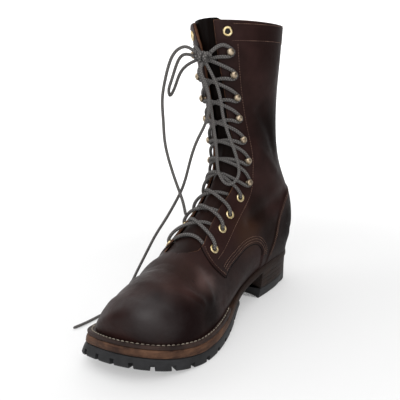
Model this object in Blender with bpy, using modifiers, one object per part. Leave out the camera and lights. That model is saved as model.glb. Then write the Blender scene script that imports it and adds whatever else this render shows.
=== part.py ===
"""Tall lace-up leather work boot for the right foot: welted upper, lugged half sole and stacked heel."""
import math

import bmesh
import bpy
import numpy as np
from mathutils import Matrix, Vector
from mathutils.bvhtree import BVHTree

for stale in list(bpy.data.objects):
    bpy.data.objects.remove(stale)

# Lengths are in millimetres: forward from the back of the heel seat, side to the inner foot, up from
# the ground
MM = 0.001
MID_FORWARD = 140.659
MID_SIDE = -8.05
SEAM_GAP = 0.3
SEAT_GAP = 0.5

# Feather line, where the upper meets the sole, in plan: heel back, inner side, toe, outer side
FEATHER_COLUMNS = ("forward", "side")
FEATHER = [
    (-2, 0), (4, 19.5), (20, 31), (50, 35), (90, 32), (130, 29.5), (165, 36), (200, 46), (230, 48.5),
    (250, 43), (265, 35), (277, 22), (284, 8), (286, -6), (283, -21), (275, -37.5), (262, -50), (242, -57),
    (214, -58.5), (176, -55), (130, -45.5), (90, -39), (50, -36), (20, -31), (4, -19.5)]
OUTLINE_POINTS = 720

# Height of the seat the upper stands on: level under the ball, sprung at the toe, pitched up to the heel
SEAT_BALL = 21.3
TOE_SPRING = 22.0
SPRING_FROM = 230.0
SPRING_TO = 306.0
SPRING_POWER = 1.7
HEEL_PITCH = 24.7
PITCH_FROM = 188.0
PITCH_TO = 55.0

# Upper sections, fanned round the foot: from a foot on the feather line, or on the back seam, to the ridge.
# Forward and up are those of the section's two ends; medial and lateral are its widest sides, at the
# fraction "widest" of its length; the crowns are its roundness and "ridge" the shift of its top.
SECTION_COLUMNS = ("foot forward", "foot up", "top forward", "top up", "middle", "medial", "lateral",
                   "widest", "crown medial", "crown lateral", "ridge")
ON_FEATHER = -1
SECTIONS = [
    (286, ON_FEATHER, 286, 39, -7, -6.9, -7.1, 0.30, 2.0, 2.0, 0),
    (281.5, ON_FEATHER, 288.5, 49, -6.5, 13.5, -27, 0.10, 2.0, 1.7, 1),
    (275, ON_FEATHER, 289.5, 55.5, -5.5, 25.5, -39, 0.08, 2.1, 1.6, 3),
    (267, ON_FEATHER, 288.5, 63.3, -4, 34, -47.5, 0.08, 2.1, 1.45, 5),
    (256.5, ON_FEATHER, 282.5, 71, -2, 41.5, -53.5, 0.09, 2.2, 1.48, 7),
    (242.5, ON_FEATHER, 269, 77.4, -1, 47.5, -57.7, 0.10, 2.2, 1.64, 7),
    (222, ON_FEATHER, 247, 81, 0, 50, -59.3, 0.12, 2.1, 1.7, 6),
    (196, ON_FEATHER, 216, 87.4, 0, 47, -58.8, 0.14, 2.0, 1.8, 4),
    (170, ON_FEATHER, 187, 96.8, 0, 41, -55, 0.17, 1.9, 1.82, 2),
    (140, ON_FEATHER, 163, 112, 0, 37.5, -48, 0.20, 1.8, 1.78, 0),
    (100, ON_FEATHER, 143, 126, 0, 36.5, -41.5, 0.24, 1.8, 1.75, 0),
    (55, ON_FEATHER, 129, 141, 0, 38.5, -38.5, 0.26, 1.8, 1.8, 1),
    (22, ON_FEATHER, 121, 154, 0, 39.8, -37.2, 0.27, 1.8, 1.8, 1.8),
    (6, ON_FEATHER, 117, 162, 0, 40.5, -36.6, 0.27, 1.8, 1.8, 2.3),
    (-2, 46, 115, 168, 0, 40.9, -36.3, 0.27, 1.8, 1.8, 2.6),
    (-6.5, 57, 112.5, 177, 0, 41.5, -35.6, 0.28, 1.8, 1.8, 3),
    (-10.5, 74, 110.5, 187, 0, 41.6, -34.9, 0.31, 1.8, 1.8, 3),
    (-11.5, 97, 109, 201, 0, 39, -34.2, 0.36, 1.8, 1.8, 3),
    (-3.5, 130, 109, 219, 0, 34.5, -33.8, 0.43, 1.8, 1.8, 2),
    (5.5, 170, 110, 242, 0, 33.5, -35.5, 0.42, 1.8, 1.8, 1),
    (7.5, 220, 113, 269, 0, 37, -39.5, 0.41, 1.8, 1.8, 0),
    (4, 265, 116, 292, 0, 42, -45, 0.40, 1.8, 1.8, 0),
    (0, 303, 118, 310, 0, 45.5, -49, 0.40, 1.8, 1.8, 0)]
SEAM_ROW = 14
LINE_POINTS = 121
SOFTENING = 12
FOOT_REACH = 0.985

# Leather: one hollow wall with the quarter, counter and collar band as steps on its outside
WALL = 1.5
PANEL_STEP = 0.7
STEP_RAMP = 4.0
BEYOND = 400.0
PANEL_COLUMNS = ("forward", "up")
QUARTER = [
    (176, BEYOND), (175, 95), (180, 86), (179, 76), (166, 60), (149, 68), (134, 71.5), (109, 78), (94, 75),
    (86, 63), (89, 56), (90, -BEYOND), (-BEYOND, -BEYOND), (-BEYOND, BEYOND)]
COUNTER = [
    (-BEYOND, 128), (18, 127), (35, 119), (50, 103), (57, 85), (66, 67), (74, 54), (76, -BEYOND),
    (-BEYOND, -BEYOND)]
COLLAR_BAND = [(-BEYOND, 285), (60, 287), (BEYOND, 296), (BEYOND, BEYOND), (-BEYOND, BEYOND)]
UPPER_COLUMNS = 10
UPPER_ROWS = [
    0, 0.5, 1, 1.5, 2, 2.5, 3, 3.5, 4, 4.5, 5, 5.5, 6, 6.5, 7, 7.35, 7.6, 7.8, 8.1, 8.5, 9, 9.5, 10, 10.5,
    11, 11.5, 12, 12.5, 13, 13.4, 13.75, 14, 14.5, 15, 15.5, 16, 16.5, 17, 17.5, 18, 18.5, 19, 19.5, 20,
    20.5, 21, 21.5, 22]

# Throat: its width along the leather, from the ridge to the edge of each facing
THROAT_COLUMNS = ("row", "medial gap", "lateral gap")
THROAT = [(7.6, 0, 0), (7.8, 10, 25), (8.1, 17, 29), (8.5, 19, 27), (9.6, 16, 20), (10.3, 16, 19),
          (11.5, 21, 22), (13.5, 26, 26), (15.8, 21, 21), (17.1, 14, 14), (18.2, 11, 11), (19.1, 11, 11),
          (20.2, 9.5, 10), (20.8, 9, 12.5), (22, 9, 21)]

# Fastenings along each facing
FASTENING_COLUMNS = ("row", "kind")
FASTENINGS = [(8.66, "eyelet"), (9.6, "eyelet"), (10.35, "eyelet"), (11.5, "eyelet"),
              (13.6, "hook"), (15.8, "hook"), (17.1, "hook"), (18.2, "hook"), (19.05, "hook"),
              (19.8, "hook"), (20.6, "hook"), (21.45, "eyelet")]
FASTENING_INSET = 12.5
SEAT_SEARCH = 8.0
EYELET_INNER = 2.6
EYELET_OUTER = 5.0
EYELET_RISE = 1.5
EYELET_STEPS = 12
HOOK_WIDTH = 6.0
HOOK_SHEET = 0.8
HOOK_BEND = 2.3
HOOK_BASE = 7.0
HOOK_RETURN = 3.6

# Tongue, lying inside the throat
TONGUE_THICK = 2.2
TONGUE_GAP = 1.2
TONGUE_LAP = 9.0
TONGUE_FROM = 7.0
TONGUE_TO = 21.9
TONGUE_ROWS = 32
TONGUE_COLUMNS = 8

# Sole layers
MARGIN_HEEL = 1.8
MARGIN_FORE = 5.5
MARGIN_OUTER = 3.5
MARGIN_FROM = 110.0
MARGIN_TO = 175.0
OUTER_SIDE = -40.0
CORNER_FROM = 205.0
CORNER_TO = 255.0
CORNER_FACING = -0.66
CORNER_SPREAD = 0.22
MARGIN_CORNER = 1.5
MIDSOLE_FORE = 8.3
MIDSOLE_HEEL = 8.0
INSOLE_THICK = 4.0
INSOLE_CLEAR = 1.6
WELT_THICK = 4.0
WELT_SET_IN = 0.5
WELT_CLEAR = 1.0
WELT_MEDIAL_FROM = 168.0
WELT_LATERAL_FROM = 130.0
WELT_STEPS = 52
WELT_NEAR = 8.0
OUTSOLE_FROM = 136.0
OUTSOLE_TAPER = 30.0
OUTSOLE_END_THICK = 3.0
TREAD_FLARE = 2.5
TREAD_LEAN = 3.5
TREAD_CORNER = 3.0
SOLE_STEPS = 36
HEEL_STEPS = 11
HEEL_COLUMNS = 5
HEEL_FRONT = 81.0
HEEL_BACK_FLARE = -1.0
HEEL_TAPER_FROM = 0.0
HEEL_TAPER_TO = 28.0
STACK_TAPER = -4.5
LIFT_TAPER = -8.0
LIFT_THICK = 13.0
BREAST_HOLLOW = 9.0
BREAST_REACH = 4.0

# Lugs of the half sole, parted by notches round the edge and grooves across the middle
LUG_PITCH = 19.0
LUG_NOTCH = 3.6
LUG_DEPTH = 5.0
LUG_REACH = 13.0
LUG_OUT = 4.0
LUG_FROM = 150.0
GROOVES = (172.0, 193.0, 214.0, 235.0, 256.0)
GROOVE_INSET = 20.0

# Laces
LACE_RADIUS = 2.0
LACE_LIFT = 3.4
LACE_STEP = 11.5
LACE_SHORT = 8.0
LACE_CROSS = 0.5
LACE_TURN = 3.0
CORD_STEP = 12.0
BAR_SIDES = 1
CORD_SIDES = 2
KNOT_SIZE = (9.0, 6.5, 6.0)
KNOT_ROW = 20.35
KNOT_LIFT = 12.8

SIDES = (("medial", 1), ("lateral", -1))


# Plain curves

def spline(knots, values, at):
    """Natural cubic spline through rows of values."""
    k = np.asarray(knots, float)
    v = np.asarray(values, float)
    flat = v.reshape(len(k), -1)
    h = np.diff(k)
    system = np.eye(len(k))
    right = np.zeros_like(flat)
    for i in range(1, len(k) - 1):
        system[i, i - 1:i + 2] = h[i - 1], 2.0 * (h[i - 1] + h[i]), h[i]
        right[i] = 6.0 * ((flat[i + 1] - flat[i]) / h[i] - (flat[i] - flat[i - 1]) / h[i - 1])
    bend = np.linalg.solve(system, right)
    q = np.atleast_1d(np.asarray(at, float))
    i = np.clip(np.searchsorted(k, q, side="right") - 1, 0, len(k) - 2)
    d = (q - k[i])[:, None]
    w = h[i][:, None]
    out = flat[i] + d * ((flat[i + 1] - flat[i]) / w - w * (2.0 * bend[i] + bend[i + 1]) / 6.0)
    out += d ** 2 * bend[i] / 2.0 + d ** 3 * (bend[i + 1] - bend[i]) / (6.0 * w)
    return out.reshape((len(q),) + v.shape[1:])


def run_length(line):
    """Distance along a line of points, from its first."""
    return np.r_[0.0, np.cumsum(np.linalg.norm(np.diff(line, axis=0), axis=1))]


def along(line, distance):
    """Points of a line at distances from its first."""
    d = run_length(line)
    return np.stack([np.interp(distance, d, line[:, k]) for k in range(line.shape[1])], -1)


def smooth_path(points, step):
    """Smooth curve through hand-chosen points, read at even steps."""
    table = np.asarray(points, float)
    d = run_length(table)
    fine = spline(d, table, np.linspace(0.0, d[-1], 40 * len(table)))
    length = run_length(fine)[-1]
    return along(fine, np.linspace(0.0, length, max(3, round(length / step) + 1)))


def ease(low, high, at):
    """Smooth rise from 0 at low to 1 at high."""
    t = np.clip((np.asarray(at, float) - low) / (high - low), 0.0, 1.0)
    return t * t * (3.0 - 2.0 * t)


# Plan and seat of the shoe

def feather_outline():
    """Closed plan of the feather line, evenly read from its table."""
    table = np.array(FEATHER, float)
    lap = 4
    ring = np.vstack([table[-lap:], table, table[:lap + 1]])
    d = run_length(ring)
    return spline(d, ring, np.linspace(d[lap], d[lap + len(table)], OUTLINE_POINTS, endpoint=False))


PLAN = feather_outline()


def plan_normals(plan):
    """Outward normals of a closed plan."""
    t = np.roll(plan, -1, axis=0) - np.roll(plan, 1, axis=0)
    n = np.stack([t[:, 1], -t[:, 0]], axis=1)
    n /= np.linalg.norm(n, axis=1)[:, None]
    toe = np.argmax(plan[:, 0])
    return n * np.sign(n[toe, 0])


def half_plan(plan, forward, side):
    """Side coordinate of a closed plan's medial or lateral edge."""
    heel = int(np.argmin(plan[:, 0]))
    ring = np.roll(plan, -heel, axis=0)
    toe = int(np.argmax(ring[:, 0]))
    edge = ring[:toe + 1] if side > 0 else np.vstack([ring[toe:], ring[:1]])[::-1]
    return np.interp(forward, np.maximum.accumulate(edge[:, 0]), edge[:, 1])


def seat_up(forward):
    """Height of the seat the upper stands on."""
    spring = np.clip((np.asarray(forward, float) - SPRING_FROM) / (SPRING_TO - SPRING_FROM), 0.0, 1.0)
    pitch = ease(-PITCH_FROM, -PITCH_TO, -forward)
    return SEAT_BALL + TOE_SPRING * spring ** SPRING_POWER + HEEL_PITCH * pitch


def corner_turn(plan):
    """Bell round the toe's outer corner, from the way that the edge faces."""
    facing = (plan_normals(plan)[:, 1] - CORNER_FACING) / CORNER_SPREAD
    return np.exp(-facing ** 2) * ease(CORNER_FROM, CORNER_TO, plan[:, 0])


def margin(plan):
    """Reach of the sole's edge beyond the feather line, wider round the outer corner of the toe."""
    corner = ease(0.0, OUTER_SIDE, plan[:, 1]) * ease(CORNER_FROM, CORNER_TO, plan[:, 0])
    fore = MARGIN_FORE + MARGIN_OUTER * corner + MARGIN_CORNER * corner_turn(plan)
    return MARGIN_HEEL + (fore - MARGIN_HEEL) * ease(MARGIN_FROM, MARGIN_TO, plan[:, 0])


def tread_margin(plan):
    """Reach of the tread, drawn in along the inner side and flared out round the toe's outer corner."""
    flare = TREAD_FLARE - TREAD_LEAN * plan_normals(plan)[:, 1] + TREAD_CORNER * corner_turn(plan)
    flare = np.minimum(flare, 0.0) + np.maximum(flare, 0.0) * ease(CORNER_FROM, CORNER_TO, plan[:, 0])
    return margin(plan) + flare * ease(MARGIN_FROM, MARGIN_TO, plan[:, 0])


# Surface of the upper

def raw_section(row):
    """One section, medial foot over the ridge to lateral foot, and the distance of its ridge."""
    values = spline(range(len(SECTIONS)), SECTIONS, row)[0]
    foot_f, foot_z, top_f, top_z, middle, medial, lateral, widest, crown_m, crown_l, ridge = values
    on_foot = row < SEAM_ROW
    if on_foot:
        foot_z = float(seat_up(foot_f))
    halves = []
    for side, edge, crown in ((1, medial, crown_m), (-1, lateral, crown_l)):
        width = side * (edge - middle)
        foot = max(side * (float(half_plan(PLAN, foot_f, side)) - middle), 0.0) if on_foot else 0.0
        share = min(foot / width, FOOT_REACH)
        low = widest / (1.0 - share ** crown) ** (1.0 / crown)
        start = math.asin(share ** (crown / 2.0))
        turn = np.linspace(start, math.pi, LINE_POINTS)
        run = np.sign(np.cos(turn)) * np.abs(np.cos(turn)) ** (2.0 / crown)
        rise = widest - np.where(run > 0, low, 1.0 - widest) * run
        across = middle + side * width * np.sin(turn) ** (2.0 / crown)
        across += ridge * np.clip((rise - widest) / (1.0 - widest), 0.0, 1.0)
        ahead = foot_f + (top_f - foot_f) * rise
        halves.append(np.stack([across, ahead, foot_z + (top_z - foot_z) * rise], 1))
    line = np.vstack([halves[0], halves[1][-2::-1]])
    return line, run_length(line)[LINE_POINTS - 1] / run_length(line)[-1]


def section(row):
    """Softened section, evenly spaced, with the distance of its ridge from the medial foot."""
    line, ridge_share = raw_section(row)
    line = along(line, np.linspace(0.0, run_length(line)[-1], LINE_POINTS))
    for _ in range(SOFTENING):
        line[1:-1] = 0.25 * line[:-2] + 0.5 * line[1:-1] + 0.25 * line[2:]
    return line, ridge_share * run_length(line)[-1]


class Skin:
    """Base surface of the upper read at a list of rows, with its outward normals."""

    def __init__(self, rows):
        self.rows = rows
        pairs = [section(row) for row in rows]
        self.lines = np.array([line for line, _ in pairs])
        self.ridges = [ridge for _, ridge in pairs]
        if rows[0] == 0:
            self.lines[0] = self.lines[0][0]
        across = np.gradient(self.lines, axis=1)
        lengthwise = np.gradient(self.lines, axis=0)
        normal = np.cross(across, lengthwise)
        for i, row in enumerate(rows):
            if row >= SEAM_ROW:
                normal[i, [0, -1]] = normal[i, 0] + normal[i, -1]
            else:
                normal[i, [0, -1], 2] = 0.0
            if row == 0:
                normal[i] = (0.0, 1.0, 0.0)
        self.normals = normal / np.linalg.norm(normal, axis=2)[:, :, None]

    def read(self, i, from_ridge):
        """Points and normals of row i at signed distances from the ridge, medial positive."""
        where = self.ridges[i] - np.asarray(from_ridge, float)
        d = run_length(self.lines[i])
        point = along(self.lines[i], where)
        normal = np.stack([np.interp(where, d, self.normals[i][:, k]) for k in range(3)], -1)
        return point, normal / np.linalg.norm(normal, axis=-1)[..., None]

    def half_length(self, i, side):
        """Length of row i from its foot to its ridge."""
        return self.ridges[i] if side > 0 else run_length(self.lines[i])[-1] - self.ridges[i]


def throat_gap(row, side):
    """Distance from the ridge to one facing's edge at a row."""
    knots = np.array(THROAT, float)
    return float(np.interp(row, knots[:, 0], knots[:, 1 if side > 0 else 2]))


def inside_distance(polygon, forward, up):
    """Signed distance into a side-view panel, positive inside."""
    ring = np.array(polygon, float)
    best = np.full(np.shape(forward), np.inf)
    crossings = np.zeros(np.shape(forward), int)
    for (f0, z0), (f1, z1) in zip(ring, np.roll(ring, -1, axis=0)):
        reach = np.clip(((forward - f0) * (f1 - f0) + (up - z0) * (z1 - z0))
                        / ((f1 - f0) ** 2 + (z1 - z0) ** 2), 0.0, 1.0)
        best = np.minimum(best, np.hypot(forward - f0 - reach * (f1 - f0), up - z0 - reach * (z1 - z0)))
        spans = (z0 > up) != (z1 > up)
        level = f0 + (up - z0) * (f1 - f0) / (z1 - z0) if z1 != z0 else np.full(np.shape(up), np.inf)
        crossings += spans & (forward < level)
    return np.where(crossings % 2 == 1, best, -best)


def panel_rise(points):
    """Height of the sewn-on panels over the base surface."""
    total = np.zeros(points.shape[:-1])
    for panel in (QUARTER, COUNTER, COLLAR_BAND):
        depth = inside_distance(panel, points[..., 1], points[..., 2])
        total += ease(-STEP_RAMP / 2.0, STEP_RAMP / 2.0, depth)
    return PANEL_STEP * np.minimum(total, 2.0)


# Building blocks

def place(points):
    """Shoe sizes to the frame's metres."""
    p = np.asarray(points, float)
    return np.stack([p[..., 0] - MID_SIDE, MID_FORWARD - p[..., 1], p[..., 2]], -1) * MM


boot = bpy.data.collections.new("work boot")
cutters = bpy.data.collections.new("cutters")
for group in (boot, cutters):
    bpy.context.scene.collection.children.link(group)


def material(name, colour, roughness, metallic=0.0):
    """Principled material of one colour."""
    made = bpy.data.materials.new(name)
    made.use_nodes = True
    shader = made.node_tree.nodes["Principled BSDF"]
    shader.inputs["Base Color"].default_value = (*colour, 1.0)
    shader.inputs["Roughness"].default_value = roughness
    shader.inputs["Metallic"].default_value = metallic
    return made


BROWN = (0.035, 0.017, 0.013)
SOLE_BROWN = (0.10, 0.045, 0.020)
HEEL_BROWN = (0.022, 0.014, 0.011)
BLACK = (0.015, 0.015, 0.017)
BRASS = (0.62, 0.48, 0.22)
GREY = (0.035, 0.036, 0.038)
TAN = (0.22, 0.14, 0.085)


def add_object(name, mesh, colour, roughness, metallic=0.0, group=boot):
    """Link a mesh as a named object with its own material."""
    made = bpy.data.objects.new(name, mesh)
    mesh.materials.clear()
    mesh.materials.append(material(name, colour, roughness, metallic))
    group.objects.link(made)
    return made


def solid_mesh(name, points, faces):
    """Closed mesh from shoe-size points and faces, welded and turned outward."""
    mesh = bpy.data.meshes.new(name)
    mesh.from_pydata([tuple(p) for p in place(points)], [], faces)
    work = bmesh.new()
    work.from_mesh(mesh)
    bmesh.ops.remove_doubles(work, verts=work.verts, dist=0.005 * MM)
    bmesh.ops.recalc_face_normals(work, faces=work.faces)
    work.to_mesh(mesh)
    work.free()
    return mesh


def sheet_faces(rows, columns, offset):
    """Quads of a grid of points numbered row by row."""
    faces = []
    for i in range(rows - 1):
        for j in range(columns - 1):
            a = offset + i * columns + j
            faces.append((a, a + 1, a + columns + 1, a + columns))
    return faces


def strip_faces(first, second):
    """Quads between two runs of point numbers."""
    return [(a, b, d, c) for a, b, c, d in zip(first, first[1:], second, second[1:])]


def ladder_mesh(name, upper_edge, lower_edge):
    """Solid between an upper and a lower pair of edges, each pair medial and lateral, heel to toe."""
    count = len(upper_edge[0])
    points = np.vstack([upper_edge[0], upper_edge[1], lower_edge[0], lower_edge[1]])
    runs = [list(range(k * count, (k + 1) * count)) for k in range(4)]
    faces = strip_faces(runs[0], runs[1]) + strip_faces(runs[2], runs[3])
    faces += strip_faces(runs[0], runs[2]) + strip_faces(runs[1], runs[3])
    for end in (0, -1):
        faces.append((runs[0][end], runs[1][end], runs[3][end], runs[2][end]))
    return solid_mesh(name, points, faces)


def plan_edges(grow, forward, up):
    """Medial and lateral edges of the feather plan grown by an amount, at forward stations and heights."""
    plan = PLAN + plan_normals(PLAN) * np.reshape(grow, (-1, 1))
    low, high = plan[:, 0].min(), plan[:, 0].max()
    held = np.clip(forward, low, high)
    return [np.stack([half_plan(plan, held, side), held, up], axis=1) for _, side in SIDES]


def round_stations(low, high, steps, round_low, round_high):
    """Forward stations, closer together towards rounded ends."""
    first = math.pi if round_low else math.pi / 2.0
    last = 0.0 if round_high else math.pi / 2.0
    turn = np.cos(np.linspace(first, last, steps))
    return low + (high - low) * (turn - turn[0]) / (turn[-1] - turn[0])


def edge_end(grow, at_toe):
    """Farthest forward reach of the grown plan, at the toe or at the heel."""
    reach = (PLAN + plan_normals(PLAN) * np.reshape(grow, (-1, 1)))[:, 0]
    return reach.max() if at_toe else reach.min()


# Sole

def midsole_thick(forward):
    """Thickness of the leather midsole."""
    return MIDSOLE_HEEL + (MIDSOLE_FORE - MIDSOLE_HEEL) * ease(MARGIN_FROM, MARGIN_TO, forward)


def midsole_up(forward):
    """Height of the midsole's top."""
    return seat_up(forward) - SEAT_GAP


def midsole_low(forward):
    """Height of the midsole's underside."""
    return midsole_up(forward) - midsole_thick(forward)


plan_margin = margin(PLAN)
plan_tread = tread_margin(PLAN)
toe_end = edge_end(plan_margin, True)
heel_end = edge_end(plan_margin, False)

sole_stations = round_stations(heel_end, toe_end, SOLE_STEPS, True, True)
midsole_levels = (midsole_up(sole_stations), midsole_low(sole_stations))
midsole_edges = [plan_edges(plan_margin, sole_stations, level) for level in midsole_levels]
add_object("midsole", ladder_mesh("midsole", *midsole_edges), SOLE_BROWN, 0.7)

fore_full = float(midsole_low(PITCH_FROM)) - SEAM_GAP


def tread_up(forward):
    """Height of the half sole's underside, thinned at the waist."""
    taper = ease(OUTSOLE_FROM - OUTSOLE_TAPER / 2.0, OUTSOLE_FROM + OUTSOLE_TAPER, forward)
    return midsole_low(forward) - SEAM_GAP - OUTSOLE_END_THICK - (fore_full - OUTSOLE_END_THICK) * taper


fore_stations = round_stations(OUTSOLE_FROM, toe_end, SOLE_STEPS, False, True)
tread_stations = round_stations(OUTSOLE_FROM, edge_end(plan_tread, True), SOLE_STEPS, False, True)
fore_edges = plan_edges(plan_margin, fore_stations, midsole_low(fore_stations) - SEAM_GAP)
tread_edges = plan_edges(plan_tread, tread_stations, tread_up(tread_stations))
outsole = add_object("outsole", ladder_mesh("outsole", fore_edges, tread_edges), BLACK, 0.85)


def lug_cutter():
    """Notches across the half sole's edge and grooves across its middle, as one mesh of separate bars."""
    work = bmesh.new()
    edge = PLAN + plan_normals(PLAN) * plan_tread[:, None]
    normals = plan_normals(edge)
    distance = run_length(edge)
    for at in np.arange(LUG_PITCH / 2.0, distance[-1], LUG_PITCH):
        k = int(np.searchsorted(distance, at))
        if edge[k, 0] < LUG_FROM:
            continue
        middle = edge[k] + normals[k] * (LUG_OUT - LUG_REACH) / 2.0
        turn = Matrix.Rotation(math.atan2(-normals[k, 0], normals[k, 1]), 4, "Z")
        size = Matrix.Diagonal((LUG_REACH + LUG_OUT, LUG_NOTCH, 2.0 * LUG_DEPTH, 1.0 / MM)) * MM
        spot = place((middle[1], middle[0], tread_up(edge[k, 0])))
        bmesh.ops.create_cube(work, size=1.0, matrix=Matrix.Translation(spot) @ turn @ size)
    for forward in GROOVES:
        medial, lateral = (half_plan(edge, forward, side) - side * GROOVE_INSET for _, side in SIDES)
        size = Matrix.Diagonal((medial - lateral, LUG_NOTCH, 2.0 * LUG_DEPTH, 1.0 / MM)) * MM
        spot = place(((medial + lateral) / 2.0, forward, tread_up(forward)))
        bmesh.ops.create_cube(work, size=1.0, matrix=Matrix.Translation(spot) @ size)
    mesh = bpy.data.meshes.new("lug cutter")
    work.to_mesh(mesh)
    work.free()
    made = bpy.data.objects.new("lug cutter", mesh)
    cutters.objects.link(made)
    made.hide_render = True
    made.display_type = "WIRE"
    return made


lugs = outsole.modifiers.new("lugs", "BOOLEAN")
lugs.operation = "DIFFERENCE"
lugs.solver = "EXACT"
lugs.object = lug_cutter()


def stack_up(forward):
    """Top of the heel stack, under the midsole."""
    return midsole_low(forward) - SEAM_GAP


def heel_face(up, taper):
    """Level of the heel as a grid, back to front and side to side, its front hollowed."""
    grow = plan_margin + HEEL_BACK_FLARE + taper * ease(HEEL_TAPER_FROM, HEEL_TAPER_TO, PLAN[:, 0])
    stations = round_stations(edge_end(grow, False), HEEL_FRONT, HEEL_STEPS, True, False)
    medial, lateral = plan_edges(grow, stations, np.zeros(HEEL_STEPS))
    share = np.linspace(0.0, 1.0, HEEL_COLUMNS)[None, :, None]
    grid = medial[:, None] * (1.0 - share) + lateral[:, None] * share
    part = (np.arange(HEEL_STEPS) / (HEEL_STEPS - 1.0))[:, None] ** BREAST_REACH
    grid[..., 1] -= BREAST_HOLLOW * part * 4.0 * share[..., 0] * (1.0 - share[..., 0])
    grid[..., 2] = up(grid[..., 1]) if callable(up) else up
    return grid


def heel_layer(name, top, low, colour):
    """Layer of the heel between two levels."""
    count = HEEL_STEPS * HEEL_COLUMNS
    faces = sheet_faces(HEEL_STEPS, HEEL_COLUMNS, 0) + sheet_faces(HEEL_STEPS, HEEL_COLUMNS, count)
    rim = [i * HEEL_COLUMNS for i in range(HEEL_STEPS)]
    for run in (rim, [k + HEEL_COLUMNS - 1 for k in rim], list(range(count - HEEL_COLUMNS, count)),
                list(range(HEEL_COLUMNS))):
        faces += strip_faces(run, [k + count for k in run])
    points = np.vstack([top.reshape(-1, 3), low.reshape(-1, 3)])
    add_object(name, solid_mesh(name, points, faces), colour, 0.8)


heel_layer("heel_stack", heel_face(stack_up, 0.0), heel_face(LIFT_THICK + SEAM_GAP, STACK_TAPER), HEEL_BROWN)
heel_layer("heel_lift", heel_face(LIFT_THICK, STACK_TAPER), heel_face(0.0, LIFT_TAPER), BLACK)

insole_grow = np.full(OUTLINE_POINTS, -(WALL + INSOLE_CLEAR))
insole_ends = [edge_end(insole_grow, at_toe) for at_toe in (False, True)]
insole_stations = round_stations(*insole_ends, SOLE_STEPS, True, True)
insole_levels = [seat_up(insole_stations) + rise for rise in (INSOLE_THICK, 0.0)]
insole_edges = [plan_edges(insole_grow, insole_stations, level) for level in insole_levels]
add_object("insole", ladder_mesh("insole", *insole_edges), TAN, 0.8)


# Upper

skin = Skin(UPPER_ROWS)


def upper_half(side):
    """Outer and inner points of one half of the upper, foot to facing edge, row by row."""
    outer, inner = [], []
    for i, row in enumerate(UPPER_ROWS):
        length = skin.half_length(i, side)
        from_ridge = side * np.linspace(length, throat_gap(row, side), UPPER_COLUMNS + 1)
        point, normal = skin.read(i, from_ridge)
        outer.append(point + normal * panel_rise(point)[:, None])
        inner.append(point - normal * WALL)
    return np.array(outer), np.array(inner)


def upper_mesh():
    """Hollow upper: two halves of two skins, closed along the foot, throat and collar edges."""
    columns = UPPER_COLUMNS + 1
    rows = len(UPPER_ROWS)
    seam = UPPER_ROWS.index(SEAM_ROW)
    apex = UPPER_ROWS.index(THROAT[0][0])
    points, faces, offset = [], [], 0
    for _, side in SIDES:
        grids = upper_half(side)
        starts = []
        for grid in grids:
            starts.append(offset)
            faces += sheet_faces(rows, columns, offset)
            points.append(grid.reshape(-1, 3))
            offset += rows * columns
        foot = [[start + i * columns for i in range(seam + 1)] for start in starts]
        facing = [[start + i * columns + columns - 1 for i in range(apex, rows)] for start in starts]
        collar = [[start + (rows - 1) * columns + j for j in range(columns)] for start in starts]
        for outer, inner in (foot, facing, collar):
            faces += strip_faces(outer, inner)
    return solid_mesh("upper", np.vstack(points), faces)


upper = add_object("upper", upper_mesh(), BROWN, 0.45)
leather_points = [v.co for v in upper.data.vertices]
leather = BVHTree.FromPolygons(leather_points, [f.vertices for f in upper.data.polygons])


def tongue_mesh():
    """Curved sheet behind the throat, tucked under both facings."""
    rows = list(np.linspace(TONGUE_FROM, TONGUE_TO, TONGUE_ROWS))
    own = Skin(rows)
    columns = TONGUE_COLUMNS + 1
    layers = [[], []]
    for i, row in enumerate(rows):
        medial, lateral = (throat_gap(row, side) + TONGUE_LAP for _, side in SIDES)
        point, normal = own.read(i, np.linspace(medial, -lateral, columns))
        for layer, depth in zip(layers, (WALL + TONGUE_GAP, WALL + TONGUE_GAP + TONGUE_THICK)):
            layer.append(point - normal * depth)
    count = TONGUE_ROWS * columns
    faces = sheet_faces(TONGUE_ROWS, columns, 0) + sheet_faces(TONGUE_ROWS, columns, count)
    rim = [i * columns for i in range(TONGUE_ROWS)]
    ends = [list(range(start, start + columns)) for start in (0, (TONGUE_ROWS - 1) * columns)]
    for run in (rim, [k + columns - 1 for k in rim], *ends):
        faces += strip_faces(run, [k + count for k in run])
    return solid_mesh("tongue", np.vstack([np.vstack(layer) for layer in layers]), faces)


add_object("tongue", tongue_mesh(), BROWN, 0.6)


# Welt

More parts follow.
